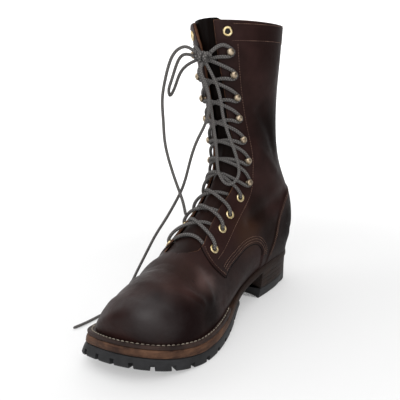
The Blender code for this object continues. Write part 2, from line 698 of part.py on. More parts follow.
def welt_mesh():
    """Strip on the midsole round the forefoot, from the upper's side out to the sole's edge."""
    normals = plan_normals(PLAN)
    toe = int(np.argmax(PLAN[:, 0]))
    first = int(np.argmin(np.abs(PLAN[:toe, 0] - WELT_MEDIAL_FROM) + 1000.0 * (PLAN[:toe, 1] < 0)))
    last = toe + int(np.argmin(np.abs(PLAN[toe:, 0] - WELT_LATERAL_FROM)))
    picks = np.unique(np.linspace(first, last, WELT_STEPS).round().astype(int))
    bulge = np.zeros(len(picks))
    foot_rows = [i for i, row in enumerate(UPPER_ROWS) if row < SEAM_ROW]
    for i in foot_rows:
        for _, side in SIDES:
            length = skin.half_length(i, side)
            point, _ = skin.read(i, side * np.linspace(length, length - 2.0 * WELT_THICK, 9))
            low = point[point[:, 2] < point[0, 2] + WELT_THICK + 2.0 * SEAM_GAP]
            for x, f in low[:, :2]:
                away = np.hypot(PLAN[picks, 0] - f, PLAN[picks, 1] - x)
                near = np.flatnonzero(away < WELT_NEAR)
                out = (f - PLAN[picks[near], 0]) * normals[picks[near], 0]
                out += (x - PLAN[picks[near], 1]) * normals[picks[near], 1]
                bulge[near] = np.maximum(bulge[near], out)
    base = PLAN[picks]
    reach = (bulge + WELT_CLEAR, plan_margin[picks] - WELT_SET_IN)
    rings = []
    for out in reach:
        edge = base + normals[picks] * out[:, None]
        for rise in (0.0, WELT_THICK):
            rings.append(np.stack([edge[:, 1], edge[:, 0], seat_up(edge[:, 0]) + rise], axis=1))
    count = len(picks)
    runs = [list(range(k * count, (k + 1) * count)) for k in range(4)]
    faces = []
    for a, b in ((0, 1), (1, 3), (3, 2), (2, 0)):
        faces += strip_faces(runs[a], runs[b])
    for end in (0, -1):
        faces.append((runs[0][end], runs[1][end], runs[3][end], runs[2][end]))
    return solid_mesh("welt", np.vstack(rings), faces)


add_object("welt", welt_mesh(), HEEL_BROWN, 0.7)


# Eyelets and hooks

fastening_skin = Skin([row for row, _ in FASTENINGS])


def fastening_frame(k, side):
    """Frame seated on the leather: outward from the throat, along the facing, and off the surface."""
    at = throat_gap(FASTENINGS[k][0], side) + FASTENING_INSET
    point, normal = fastening_skin.read(k, side * np.array([at - EYELET_OUTER, at, at + EYELET_OUTER]))
    middle, before, after = (Vector(p) for p in place(point[[1, 0, 2]]))
    off = Vector((normal[1, 0], -normal[1, 1], normal[1, 2]))
    outward = after - before
    outward = (outward - off * outward.dot(off)).normalized()
    facing = off.cross(outward)
    rise = 0.0
    for x in np.linspace(-EYELET_OUTER, HOOK_BASE, 7) * MM:
        for y in np.linspace(-EYELET_OUTER, EYELET_OUTER, 5) * MM:
            above = middle + outward * x + facing * y + off * SEAT_SEARCH * MM
            reach = leather.ray_cast(above, -off)[3]
            if reach is not None:
                rise = max(rise, SEAT_SEARCH * MM - reach)
    frame = Matrix((outward, facing, off)).transposed().to_4x4()
    return Matrix.Translation(middle + off * (rise + SEAM_GAP * MM)) @ frame


def eyelet_profile():
    """Half section of an eyelet's rolled flange, for turning about its axis."""
    mesh = bpy.data.meshes.new("eyelet profile")
    rim = (EYELET_INNER + EYELET_OUTER) / 2.0
    loop = [(rim - 0.7, EYELET_RISE), (rim + 0.7, EYELET_RISE), (EYELET_OUTER, 0.0), (EYELET_INNER, 0.0)]
    mesh.from_pydata([(x * MM, 0.0, z * MM) for x, z in loop], [(0, 1), (1, 2), (2, 3), (3, 0)], [])
    return mesh


def hook_mesh():
    """Bent strip: a base along the leather, a bend at the throat side and a return over the lace."""
    arc = [(-HOOK_BEND * math.sin(t), HOOK_BEND * (1.0 - math.cos(t))) for t in np.linspace(0.0, math.pi, 7)]
    middle = [(HOOK_BASE, 0.0)] + arc + [(HOOK_RETURN, 2.0 * HOOK_BEND + 0.4)]
    line = np.array(middle) + np.array([0.0, HOOK_SHEET / 2.0])
    turn = np.gradient(line, axis=0)
    normal = np.stack([-turn[:, 1], turn[:, 0]], axis=1)
    normal /= np.linalg.norm(normal, axis=1)[:, None]
    ring = np.vstack([line + normal * HOOK_SHEET / 2.0, (line - normal * HOOK_SHEET / 2.0)[::-1]])
    work = bmesh.new()
    for across in (-HOOK_WIDTH / 2.0, HOOK_WIDTH / 2.0):
        for x, z in ring:
            work.verts.new((x * MM, across * MM, z * MM))
    work.verts.ensure_lookup_table()
    count = len(ring)
    half = count // 2
    for a in range(count):
        b = (a + 1) % count
        work.faces.new([work.verts[k] for k in (a, b, b + count, a + count)])
    for start in (0, count):
        for a in range(half - 1):
            work.faces.new([work.verts[start + k] for k in (a, a + 1, count - 2 - a, count - 1 - a)])
    bmesh.ops.recalc_face_normals(work, faces=work.faces)
    mesh = bpy.data.meshes.new("hook")
    work.to_mesh(mesh)
    work.free()
    return mesh


for side_name, side in SIDES:
    for number, (row, kind) in enumerate(FASTENINGS):
        mesh = eyelet_profile() if kind == "eyelet" else hook_mesh()
        made = add_object(f"{kind}_{side_name}_{number + 1}", mesh, BRASS, 0.3, 1.0)
        made.matrix_world = fastening_frame(number, side)
        if kind == "eyelet":
            turned = made.modifiers.new("turned", "SCREW")
            turned.steps = EYELET_STEPS
            turned.render_steps = EYELET_STEPS
            turned.use_merge_vertices = True
            turned.merge_threshold = 0.01 * MM


# Laces

def tube_mesh(name, points, sides):
    """Round cord through shoe-size points, with filled ends."""
    curve = bpy.data.curves.new(name, "CURVE")
    curve.dimensions = "3D"
    curve.bevel_depth = LACE_RADIUS * MM
    curve.bevel_resolution = sides
    curve.use_fill_caps = True
    run = curve.splines.new("POLY")
    run.points.add(len(points) - 1)
    for target, spot in zip(run.points, place(points)):
        target.co = (*spot, 1.0)
    holder = bpy.data.objects.new(name, curve)
    mesh = bpy.data.meshes.new_from_object(holder)
    bpy.data.objects.remove(holder)
    work = bmesh.new()
    work.from_mesh(mesh)
    bmesh.ops.remove_doubles(work, verts=work.verts, dist=0.005 * MM)
    bmesh.ops.recalc_face_normals(work, faces=work.faces)
    work.to_mesh(mesh)
    work.free()
    return mesh


def over_upper(row, from_ridge, lift):
    """Point held over the upper's base surface."""
    near = Skin([row - 0.05, row, row + 0.05])
    point, normal = near.read(1, np.array([from_ridge]))
    return point[0] + normal[0] * lift


laced = [row for row, _ in FASTENINGS[:-1]]
knot_middle = over_upper(KNOT_ROW, 0.0, KNOT_LIFT)


def at_knot(point):
    """Spot just off the knot's surface, on the line from its middle to a point."""
    away = np.array(point, float) - knot_middle
    reach = 1.0 / np.linalg.norm(away / np.linalg.norm(away) / np.array(KNOT_SIZE))
    return knot_middle + away / np.linalg.norm(away) * (reach + SEAM_GAP)


def zigzag(first_side, with_bar):
    """Lace from the lowest fastening up to the top hook, changing sides at each, and back to the knot."""
    spots = []
    if with_bar:
        for share in (-0.7, -0.35, 0.0, 0.35, 0.7):
            reach = throat_gap(laced[0], first_side * share) + FASTENING_INSET - LACE_SHORT
            spots.append(over_upper(laced[0], first_side * share * reach, LACE_LIFT))
    for k, row in enumerate(laced):
        side = first_side * (-1) ** k
        reach = throat_gap(row, side) + FASTENING_INSET - LACE_SHORT
        spots.append(over_upper(row, side * reach, LACE_LIFT))
        if k + 1 < len(laced):
            ahead = throat_gap(laced[k + 1], -side) + FASTENING_INSET - LACE_SHORT
            for share in (0.3, 0.5, 0.7):
                across = side * (reach * (1.0 - share) - ahead * share)
                lift = LACE_LIFT + (LACE_CROSS * first_side if share == 0.5 else 0.0)
                spots.append(over_upper(row + share * (laced[k + 1] - row), across, lift))
    turn = over_upper(laced[-1], side * (reach + LACE_TURN / 2.0), LACE_LIFT + LACE_TURN)
    return np.vstack([smooth_path(spots, LACE_STEP), turn, at_knot(turn)])


lace = add_object("lace_crossings", tube_mesh("lace_crossings", zigzag(1, True), BAR_SIDES), GREY, 0.8)
strand = bpy.data.objects.new("lace_strand", tube_mesh("lace_strand", zigzag(-1, False), BAR_SIDES))
cutters.objects.link(strand)
strand.hide_render = True
strand.display_type = "WIRE"
joined = lace.modifiers.new("crossed", "BOOLEAN")
joined.operation = "UNION"
joined.solver = "EXACT"
joined.object = strand


def knot_mesh():
    """Rounded lump of the bow's knot."""
    work = bmesh.new()
    spread = Matrix.Diagonal((*[s * MM for s in KNOT_SIZE], 1.0))
    bmesh.ops.create_icosphere(work, subdivisions=2, radius=1.0,
                               matrix=Matrix.Translation(place(knot_middle)) @ spread)
    mesh = bpy.data.meshes.new("lace_knot")
    work.to_mesh(mesh)
    work.free()
    return mesh


add_object("lace_knot", knot_mesh(), GREY, 0.8)

# Free runs of the lace from the knot: side, forward, up. The loops come back to the knot.
FREE_COLUMNS = ("side", "forward", "up")
LOOPS = {
    "lace_loop_front": [
        (9, 128, 262), (13, 126, 252), (17, 124, 231), (18, 123, 217), (23, 122, 198), (31, 121, 172),
        (30, 124, 153), (24, 129, 149), (15, 130, 156), (9, 126, 178), (7, 125, 204), (6, 126, 224),
        (0, 127, 250), (-5, 127, 262)],
    "lace_loop_side": [
        (-20, 131, 279), (-30, 133, 267), (-37, 133, 254), (-42, 132, 243), (-43, 129, 240), (-41, 126, 244),
        (-35, 125, 255), (-28, 124, 265), (-18, 123, 271)]}
ENDS = {
    "lace_end_hanging": [
        (-13, 136, 286), (-22, 139, 283), (-32, 140, 271), (-39, 140, 256), (-44, 141, 238), (-44, 143, 216),
        (-43, 145, 195), (-40, 146, 179), (-35, 147, 163), (-29, 148, 147), (-23, 149, 131),
        (-20, 150, 117)],
    "lace_end_floor": [
        (4, 137, 262), (8, 136, 250), (9, 135, 226), (3, 135, 211), (-8, 135, 195), (-20, 136, 170),
        (-31, 137, 144), (-42, 139, 126), (-55, 142, 107), (-68, 147, 88), (-78, 152, 70), (-89, 157, 50),
        (-98, 162, 32), (-106, 168, 14), (-111, 178, 4), (-115, 192, 2), (-116, 205, 2), (-117, 222, 2),
        (-120, 237, 2)]}

for name, run in {**LOOPS, **ENDS}.items():
    route = [at_knot(run[0])] + run + ([at_knot(run[-1])] if name in LOOPS else [])
    add_object(name, tube_mesh(name, smooth_path(route, CORD_STEP), CORD_SIDES), GREY, 0.8)
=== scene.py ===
# %% [markdown]
# # A tall lace-up work boot
# The boot is already modelled as plain solids: a hollow upper, a tongue, the layers of the sole, the
# fittings and the lace. This lesson dresses those solids. Each step says what a piece is on a real boot,
# how it could be made in Blender, and why it is made the way it is.

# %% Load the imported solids
import math

import bmesh
import bpy
import numpy as np
from mathutils import Matrix, Vector


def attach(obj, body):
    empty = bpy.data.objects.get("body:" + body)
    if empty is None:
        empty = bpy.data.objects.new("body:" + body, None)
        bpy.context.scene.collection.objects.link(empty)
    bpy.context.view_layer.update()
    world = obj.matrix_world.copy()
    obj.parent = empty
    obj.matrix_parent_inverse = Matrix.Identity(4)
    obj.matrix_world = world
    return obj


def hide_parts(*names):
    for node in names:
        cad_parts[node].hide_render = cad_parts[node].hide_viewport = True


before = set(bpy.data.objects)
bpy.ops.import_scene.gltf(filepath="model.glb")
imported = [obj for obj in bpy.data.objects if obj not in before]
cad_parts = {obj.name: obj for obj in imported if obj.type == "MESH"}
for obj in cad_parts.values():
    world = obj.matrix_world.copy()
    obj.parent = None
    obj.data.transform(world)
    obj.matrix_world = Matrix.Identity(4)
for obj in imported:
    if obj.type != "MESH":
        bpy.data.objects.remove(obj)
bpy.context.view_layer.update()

print("solids:", len(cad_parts))

# %% [markdown]
# ## The boot's own coordinates
# A bootmaker measures along the foot, across it and up from the ground. All shapes below are worked out
# in millimetres as (side, forward, up), side being positive towards the other foot, and one function
# turns them into the frame of the solids.

# %% Millimetres of the boot to metres of the frame
MM = 0.001
MID_SIDE = -8.05
MID_FORWARD = 140.659


def place(points):
    """Frame position: (side - middle, middle - forward, up), in metres."""
    p = np.asarray(points, float)
    return np.stack([p[..., 0] - MID_SIDE, MID_FORWARD - p[..., 1], p[..., 2]], -1) * MM


# %% [markdown]
# ## Camera
# The picture was taken from in front of the boot, on its inner side and a little above, with the camera
# tipped by a small roll. A shifted lens frames the single boot without changing that point of view.

# %% Camera at the photograph's point of view
CAMERA_SPOT = (312.46, 581.41, 254.51)
AZIMUTH, ELEVATION, ROLL = (math.radians(d) for d in (30.34, 18.086, -2.678))
FRAME_PIXELS = 400.0
SENSOR = 36.0
PHOTO_FOCUS = 398.69
ZOOM = 1.30
BOOT_MIDDLE = (146.5, 159.5)
FRAME_MIDDLE = (182.0, 194.0)

back = np.array([math.sin(AZIMUTH) * math.cos(ELEVATION), -math.cos(AZIMUTH) * math.cos(ELEVATION),
                 math.sin(ELEVATION)])
level = np.array([math.cos(AZIMUTH), math.sin(AZIMUTH), 0.0])
upright = np.cross(back, level)
camera_right = math.cos(ROLL) * level + math.sin(ROLL) * upright
camera_up = -math.sin(ROLL) * level + math.cos(ROLL) * upright

camera = bpy.data.objects.new("camera", bpy.data.cameras.new("camera"))
bpy.context.scene.collection.objects.link(camera)
turn = Matrix(np.stack([camera_right, camera_up, back], axis=1).tolist())
camera.matrix_world = Matrix.Translation(place(CAMERA_SPOT)) @ turn.to_4x4()
NEAR_CLIP = 0.01
half_frame = FRAME_PIXELS / 2.0
shift = ((np.array(BOOT_MIDDLE) - half_frame) * ZOOM - (np.array(FRAME_MIDDLE) - half_frame)) / FRAME_PIXELS
camera.data.sensor_width = SENSOR
camera.data.lens = SENSOR * PHOTO_FOCUS * ZOOM / FRAME_PIXELS
camera.data.shift_x = shift[0]
camera.data.shift_y = -shift[1]
camera.data.clip_start = NEAR_CLIP
bpy.context.scene.camera = camera
print("lens", round(camera.data.lens, 2), "shift", shift.round(3))

# %% [markdown]
# ## Small tools for surfaces
# Most pieces are grids: a function of two parameters worked out as whole arrays. These helpers number the
# faces of a grid and put arrays into a mesh.

# %% Grids of points to meshes
MERGE, SLIVER = 0.01 * MM, 0.005 * MM


def grid_faces(rows, columns, first=0, ring_columns=False):
    """Quads of a grid numbered row by row, joined round where each row closes on itself."""
    i = np.arange(rows - 1)[:, None]
    j = np.arange(columns if ring_columns else columns - 1)[None, :]
    up = i + 1
    on = (j + 1) % columns
    corners = [i * columns + j, i * columns + on, up * columns + on, up * columns + j]
    return first + np.stack([np.broadcast_to(c, (i.size, j.size)).ravel() for c in corners], axis=1)


def strip_faces(first, second):
    """Quads between two runs of point numbers."""
    a, b = np.asarray(first), np.asarray(second)
    return np.stack([a[:-1], a[1:], b[1:], b[:-1]], axis=1)


def join(parts):
    """Arrays of points and faces joined into one pair."""
    points, faces, first = [], [], 0
    for spots, quads in parts:
        points.append(np.asarray(spots).reshape(-1, 3))
        faces += [[first + v for v in f] for f in quads]
        first += len(points[-1])
    return np.vstack(points), faces


def clean(mesh):
    """Doubled seams and poles closed, slivers dropped and all faces turned outward."""
    work = bmesh.new()
    work.from_mesh(mesh)
    bmesh.ops.remove_doubles(work, verts=work.verts, dist=MERGE)
    bmesh.ops.dissolve_degenerate(work, edges=work.edges, dist=SLIVER)
    bmesh.ops.recalc_face_normals(work, faces=work.faces)
    work.to_mesh(mesh)
    work.free()


def make_piece(name, points, faces, material, slot, replaces=(), uv=None, smooth=True, weld=True):
    """Mesh object from boot-size points and faces, riding on the boot and standing for the named solids."""
    mesh = bpy.data.meshes.new(name)
    flat = np.asarray(points, float).reshape(-1, 3)
    mesh.from_pydata(place(flat), [], [list(map(int, f)) for f in faces], shade_flat=not smooth)
    if uv is not None:
        corner = np.empty(len(mesh.loops), int)
        mesh.loops.foreach_get("vertex_index", corner)
        mesh.uv_layers.new(name="UVMap").data.foreach_set("uv", np.asarray(uv, float)[corner].ravel())
    elif weld:
        clean(mesh)
    piece = bpy.data.objects.new(name, mesh)
    bpy.context.scene.collection.objects.link(piece)
    mesh.materials.append(material)
    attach(piece, "root")
    if replaces:
        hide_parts(*replaces)
    print(name, len(mesh.polygons), "faces")
    return piece


# %% [markdown]
# ## Curves
# Listed points are joined by a smooth natural spline, and lines are read at even distances.

# %% Splines and lines


def spline(knots, values, at):
    """Natural cubic spline: the smooth curve through rows of values, with no bend at its two ends."""
    k = np.asarray(knots, float)
    v = np.asarray(values, float)
    flat = v.reshape(len(k), -1)
    h = np.diff(k)
    system = np.eye(len(k))
    right = np.zeros_like(flat)
    for i in range(1, len(k) - 1):
        system[i, i - 1:i + 2] = h[i - 1], 2.0 * (h[i - 1] + h[i]), h[i]
        right[i] = 6.0 * ((flat[i + 1] - flat[i]) / h[i] - (flat[i] - flat[i - 1]) / h[i - 1])
    bend = np.linalg.solve(system, right)
    q = np.atleast_1d(np.asarray(at, float))
    i = np.clip(np.searchsorted(k, q, side="right") - 1, 0, len(k) - 2)
    d = (q - k[i])[:, None]
    w = h[i][:, None]
    out = flat[i] + d * ((flat[i + 1] - flat[i]) / w - w * (2.0 * bend[i] + bend[i + 1]) / 6.0)
    out += d ** 2 * bend[i] / 2.0 + d ** 3 * (bend[i + 1] - bend[i]) / (6.0 * w)
    return out.reshape((len(q),) + v.shape[1:])


def run_length(line):
    """Distance along a line of points from its first."""
    return np.r_[0.0, np.cumsum(np.linalg.norm(np.diff(line, axis=0), axis=1))]


def read_at(at, marks, table):
    """Rows of a table read between its marks."""
    return np.stack([np.interp(at, marks, column) for column in table.T], -1)


def along(line, distance):
    """Points of a line at distances from its first."""
    return read_at(distance, run_length(line), line)


def smooth_path(points, step):
    """Smooth curve through given points, read at even steps."""
    table = np.asarray(points, float)
    d = run_length(table)
    fine = spline(d, table, np.linspace(0.0, d[-1], 40 * len(table)))
    length = run_length(fine)[-1]
    return along(fine, np.linspace(0.0, length, max(3, round(length / step) + 1)))


def ease(low, high, at):
    """Smooth rise from 0 at low to 1 at high."""
    t = np.clip((np.asarray(at, float) - low) / (high - low), 0.0, 1.0)
    return t * t * (3.0 - 2.0 * t)


# %% [markdown]
# ## Colours and nodes
# Colours are read off the photograph as screen values, so one function turns a hex value into the
# linear light that shaders use. One more function adds a node with its settings and links, and short ones
# name the nodes that come up again and again.

# %% Colour and node helpers


def colour(hex_value):
    """Linear light of a screen colour: the sRGB curve undone channel by channel."""
    screen = np.array([int(hex_value[k:k + 2], 16) for k in (1, 3, 5)]) / 255.0
    light = np.where(screen <= 0.04045, screen / 12.92, ((screen + 0.055) / 1.055) ** 2.4)
    return (*light.tolist(), 1.0)


def add_node(tree, kind, inputs=None, **settings):
    """New node with settings; an input given as a socket is linked, and any other value is set."""
    made = tree.nodes.new(kind)
    for name, value in settings.items():
        setattr(made, name, value)
    for name, value in (inputs or {}).items():
        if isinstance(value, bpy.types.NodeSocket):
            tree.links.new(value, made.inputs[name])
        else:
            made.inputs[name].default_value = value
    return made


def new_finish(name, **sockets):
    """Material with its shader's constant sockets set; gives the material, its tree and its shader."""
    made = bpy.data.materials.new(name)
    made.use_nodes = True
    shader = made.node_tree.nodes["Principled BSDF"]
    for socket, value in sockets.items():
        shader.inputs[socket.replace("_", " ")].default_value = value
    return made, made.node_tree, shader


def spot_of(tree):
    """Position on the object, by which its patterns are drawn."""
    return add_node(tree, "ShaderNodeTexCoord").outputs["Object"]


def noise(tree, where, scale, detail, roughness=0.5):
    """Cloudy noise, with its scale in waves per unit of the position."""
    sockets = {"Vector": where, "Scale": scale, "Detail": detail, "Roughness": roughness}
    return add_node(tree, "ShaderNodeTexNoise", sockets).outputs["Fac"]


def span(tree, value, low, high, first=0.0, last=1.0, **settings):
    """Value carried from the span low to high over to the span first to last, held at both ends."""
    sockets = {"Value": value, "From Min": low, "From Max": high, "To Min": first, "To Max": last}
    return add_node(tree, "ShaderNodeMapRange", sockets, **settings).outputs[0]


def blend(tree, part, first, second):
    """Colour between two others by a share."""
    return add_node(tree, "ShaderNodeMix", {0: part, 6: first, 7: second}, data_type="RGBA").outputs[2]


def bump(tree, height, strength, depth, **under):
    """Normals tipped by a height, over those of another bump where one is given."""
    sockets = {"Height": height, "Strength": strength, "Distance": depth, **under}
    return add_node(tree, "ShaderNodeBump", sockets).outputs["Normal"]


def drive(tree, shader, **sockets):
    """Sockets of a shader linked to patterns."""
    for socket, value in sockets.items():
        tree.links.new(value, shader.inputs[socket.replace("_", " ")])


# %% [markdown]
# ## Oiled leather
# The upper is thick oiled leather, dark red-brown, waxed and worn. Under soft light it shows cloudy
# changes of tone, a low uneven sheen and a fine pebbled grain. Wear has left patches: the toe is rubbed
# dark and polished and the quarter is browner. The other patches are painted light: a paler patch of
# painted sheen on the flex above the toe, painted highlights along a fold's ridge on the vamp, painted
# shade in the folds' hollows, and painted shade round the heel, up the back and low along the welt and
# the toe. Each patch is a ball of a second colour with a soft ragged border. The clouds are noise about
# 40 mm across; the grain is about 1 mm on real leather and is drawn near 2 mm so that it shows.

# %% Oiled leather finish
# Rows: (side, forward, up), core radius, outer radius, colour, polish.
WEAR_AND_PAINTED_LIGHT = [
    # Painted sheen: paler patches on the flex above the toe.
    ((26, 217, 80), 8, 46, "#2c1c19", 0.07),
    ((37.7, 202, 67), 2, 20, "#4a3936", 0.11),
    # The quarter, browner.
    ((34, 112, 94), 4, 36, "#2e1c13", 0.07),
    # Painted shade on the back of the boot: round the heel, behind the ankle and up the back of the shaft.
    ((30, 18, 78), 12, 66, "#0e0706", 0.02),
    ((38, 70, 84), 4, 34, "#160b08", 0.03),
    ((34, 90, 114), 2, 21, "#160b08", 0.035),
    ((42, 50, 286), 10, 60, "#1a0d0b", 0.035),
    ((28, 40, 196), 6, 66, "#0e0706", 0.02),
    # Painted shade low on the inner side, along the welt.
    ((45, 212, 42), 6, 34, "#100807", 0.025),
    # Painted shade in the hollow of the fold across the vamp.
    ((10, 220, 86), 2, 21, "#211411", 0.055),
    ((27, 218, 79), 2, 18, "#261815", 0.06),
    # Painted shade in the trough behind the toe.
    ((26, 262, 75), 1, 13, "#110909", 0.05),
    # Painted highlights along the ridge of a fold on the vamp.
    ((26, 243, 77), 1, 13, "#32221f", 0.08),
    ((37, 231, 70), 1, 14, "#32211f", 0.08),
    # Painted shade low round the toe, over the welt.
    ((50, 248, 46), 10, 36, "#140a0a", 0.025),
    ((26, 283, 45), 6, 26, "#160c0b", 0.04),
    # The toe, rubbed dark and polished.
    ((31, 275, 64), 2, 38, "#1a1010", 0.36)]
# Painted shade over the tongue's upper part, deep in the throat.
TONGUE_PAINTED_SHADE = [((0, 116, 268), 70, 150, "#0a0605", 0.02)]
PLAIN_POLISH = 0.07
RAGGED = 0.03
CLOUDS, SCUFFS, DENTS, PEBBLES = 26.0, 160.0, 75.0, 520.0


def oiled_leather(name, deep, lit, plain=PLAIN_POLISH, patches=()):
    """Leather in two colours clouded, with grain, scuffs and patches of wear and of painted light."""
    made, tree, shader = new_finish(name, Specular_IOR_Level=plain)
    where = spot_of(tree)
    clouds = noise(tree, where, CLOUDS, 4.0, 0.6)
    shade = blend(tree, span(tree, clouds, 0.3, 0.72), colour(deep), colour(lit))
    polish = plain
    for spot, core, outer, patch_tone, sheen in patches:
        gap = add_node(tree, "ShaderNodeVectorMath", {0: where, 1: tuple(place(spot))}, operation="DISTANCE")
        uneven = add_node(tree, "ShaderNodeMath", {0: clouds, 1: RAGGED, 2: gap.outputs["Value"]},
                          operation="MULTIPLY_ADD")
        mask = span(tree, uneven.outputs[0], outer * MM + RAGGED / 2.0, core * MM + RAGGED / 2.0,
                    interpolation_type="SMOOTHSTEP")
        shade = blend(tree, mask, shade, colour(patch_tone))
        polish = add_node(tree, "ShaderNodeMix", {0: mask, 2: polish, 3: sheen}).outputs[0]
    if patches:
        drive(tree, shader, Specular_IOR_Level=polish)
    gloss = span(tree, noise(tree, where, SCUFFS, 5.0, 0.7), 0.3, 0.7, 0.40, 0.56)
    pebbles = add_node(tree, "ShaderNodeTexVoronoi", {"Vector": where, "Scale": PEBBLES, "Randomness": 1.0})
    grain = bump(tree, pebbles.outputs["Distance"], 0.10, 0.0005)
    dents = bump(tree, noise(tree, where, DENTS, 3.0), 0.22, 0.0012, Normal=grain)
    drive(tree, shader, Base_Color=shade, Roughness=gloss, Normal=dents)
    return made


upper_leather = oiled_leather("oiled leather", "#180c0a", "#2a1917", patches=WEAR_AND_PAINTED_LIGHT)
# The tongue's tones are a little darker than the upper's: painted shade of the throat.
tongue_leather = oiled_leather("soft tongue leather", "#140b09", "#241613", plain=0.05,
                               patches=TONGUE_PAINTED_SHADE)
print("leather finishes ready")

# %% [markdown]
# ## Sole leather
# The midsole's cut edge is brown sole leather. It shows the fibres as fine level streaks and is stained
# darker in places; from the waist back it is darker still. The streaks are noise drawn out level by a
# mapping. The welt, the layers of the heel, the insole and the core of the upper's leather are the same
# finish in other tones.

# %% Cut leather edge
FIBRE, STACKED_FIBRE, FIBRE_RUN, STAINS = 0.0009, 0.0022, 60.0, 70.0
WAIST_FROM, WAIST_TO = (0.0, 205.0, 20.0), (0.0, 130.0, 20.0)


def cut_leather(name, deep, lit, streak=FIBRE, waist=None):
    """Edge of sole leather: level streaks and stains, with an optional darker colour from the waist back."""
    made, tree, shader = new_finish(name, Specular_IOR_Level=0.15)
    where = spot_of(tree)
    stretch = (FIBRE_RUN, FIBRE_RUN, 0.5 / streak)
    drawn = add_node(tree, "ShaderNodeMapping", {"Vector": where, "Scale": stretch})
    fibres = noise(tree, drawn.outputs[0], 1.0, 4.0)
    stains = noise(tree, where, STAINS, 4.0, 0.65)
    sockets = {0: fibres, 1: 0.5, 2: stains}
    both = add_node(tree, "ShaderNodeMath", sockets, operation="MULTIPLY_ADD").outputs[0]
    tone = blend(tree, span(tree, both, 0.55, 0.95), colour(deep), colour(lit))
    if waist is not None:
        along_foot = add_node(tree, "ShaderNodeSeparateXYZ", {0: where}).outputs["Y"]
        rear = span(tree, along_foot, *(float(place(end)[1]) for end in (WAIST_FROM, WAIST_TO)))
        tone = blend(tree, rear, tone, colour(waist))
    drive(tree, shader, Base_Color=tone, Roughness=span(tree, stains, 0.0, 1.0, 0.55, 0.8),
          Normal=bump(tree, fibres, 0.35, 0.0006))
    return made


sole_leather = cut_leather("brown sole leather edge", "#2b1a13", "#5c4130", waist="#1f130e")
welt_leather = cut_leather("dark welt leather", "#1c1311", "#382a25")
heel_leather = cut_leather("stacked heel leather", "#130e0c", "#30231d", streak=STACKED_FIBRE)
insole_leather = cut_leather("insole leather", "#6d4a33", "#8a6347")
edge_leather = cut_leather("core of the upper leather", "#2c1a12", "#5a3b28")
print("cut edges ready")

# %% [markdown]
# ## Rubber, brass and thread
# The half sole and the heel's lift are black rubber, matt and dusty. The fittings are pale worn brass
# with darker tarnish, and the seams are waxed thread that changes a little from stitch to stitch. Each is
# one colour clouded by another, so one function makes them all. A near black stands for the shade inside
# the eyelets.

# %% Clouded finishes


def clouded(name, first, second, pattern, low, high, gloss=None, grit=None, **sockets):
    """Finish that runs between two colours by noise, its gloss with it, over an optional fine grit."""
    made, tree, shader = new_finish(name, **sockets)
    where = spot_of(tree)
    cloud = noise(tree, where, *pattern)
    drive(tree, shader, Base_Color=blend(tree, span(tree, cloud, low, high), colour(first), colour(second)))
    if gloss:
        drive(tree, shader, Roughness=span(tree, cloud, 0.0, 1.0, *gloss))
    if grit:
        scale, detail, strength, depth = grit
        drive(tree, shader, Normal=bump(tree, noise(tree, where, scale, detail), strength, depth))
    return made


BRASS = {"pattern": (420.0, 3.0), "low": 0.35, "high": 0.7, "gloss": (0.2, 0.45), "Metallic": 1.0}
THREAD = {"pattern": (150.0, 2.0), "low": 0.35, "high": 0.65, "Specular_IOR_Level": 0.15, "Roughness": 0.7}
rubber = clouded("black moulded rubber", "#121213", "#28282a", (45.0, 5.0, 0.7), 0.35, 0.75,
                 gloss=(0.5, 0.75), grit=(500.0, 3.0, 0.2, 0.0004), Specular_IOR_Level=0.25)
pale_brass = clouded("pale eyelet brass", "#d9c9a0", "#a78f5c", **BRASS)
hook_brass = clouded("aged hook brass", "#aea08a", "#6a5a4a", **BRASS)
upper_thread = clouded("brown upper thread", "#6c5448", "#48352e", **THREAD)
welt_thread = clouded("off-white welt thread", "#958c7f", "#675f54", **THREAD)
hole_dark = new_finish("shadow in the eyelet", Base_Color=colour("#0b0908"), Roughness=0.9)[0]
print("rubber, brass and thread ready")

# %% [markdown]
# ## Braided lace
# The lace is a grey braid with pale flecks that follow its own length. Two sets of waves on its UV map,
# slanted both ways, cross like plaited yarns; their product is the height of the yarns and the share of
# the pale tone.

# %% Braid finish
BRAID, BRAID_SLANT, BRAID_WAVES = 0.0024, 3.0, 0.628


def braided_cord():
    """Braid from two sets of slanted waves on the lace's own length and girth."""
    made, tree, shader = new_finish("grey braided lace", Specular_IOR_Level=0.1, Roughness=0.8)
    where = add_node(tree, "ShaderNodeUVMap", uv_map="UVMap").outputs["UV"]
    waves = []
    for slant in (BRAID_SLANT, -BRAID_SLANT):
        turned = add_node(tree, "ShaderNodeMapping", {"Vector": where, "Scale": (1.0 / BRAID, slant, 1.0)})
        sockets = {"Vector": turned.outputs[0], "Scale": BRAID_WAVES, "Distortion": 0.4}
        waves.append(add_node(tree, "ShaderNodeTexWave", sockets, wave_type="BANDS",
                              bands_direction="DIAGONAL"))
    heights = {k: wave.outputs["Fac"] for k, wave in enumerate(waves)}
    yarn = add_node(tree, "ShaderNodeMath", heights, operation="MULTIPLY").outputs[0]
    tone = blend(tree, span(tree, yarn, 0.05, 0.7), colour("#403e3d"), colour("#6f6c6a"))
    drive(tree, shader, Base_Color=tone, Normal=bump(tree, yarn, 0.5, 0.0005))
    return made


lace_cord = braided_cord()
print("lace finish ready")

# %% [markdown]
# ## Plan and seat
# The feather line is the edge where the upper meets the sole. Everything in the sole follows it: in plan
# from its table, and in height from the toe spring and the pitch of the heel.

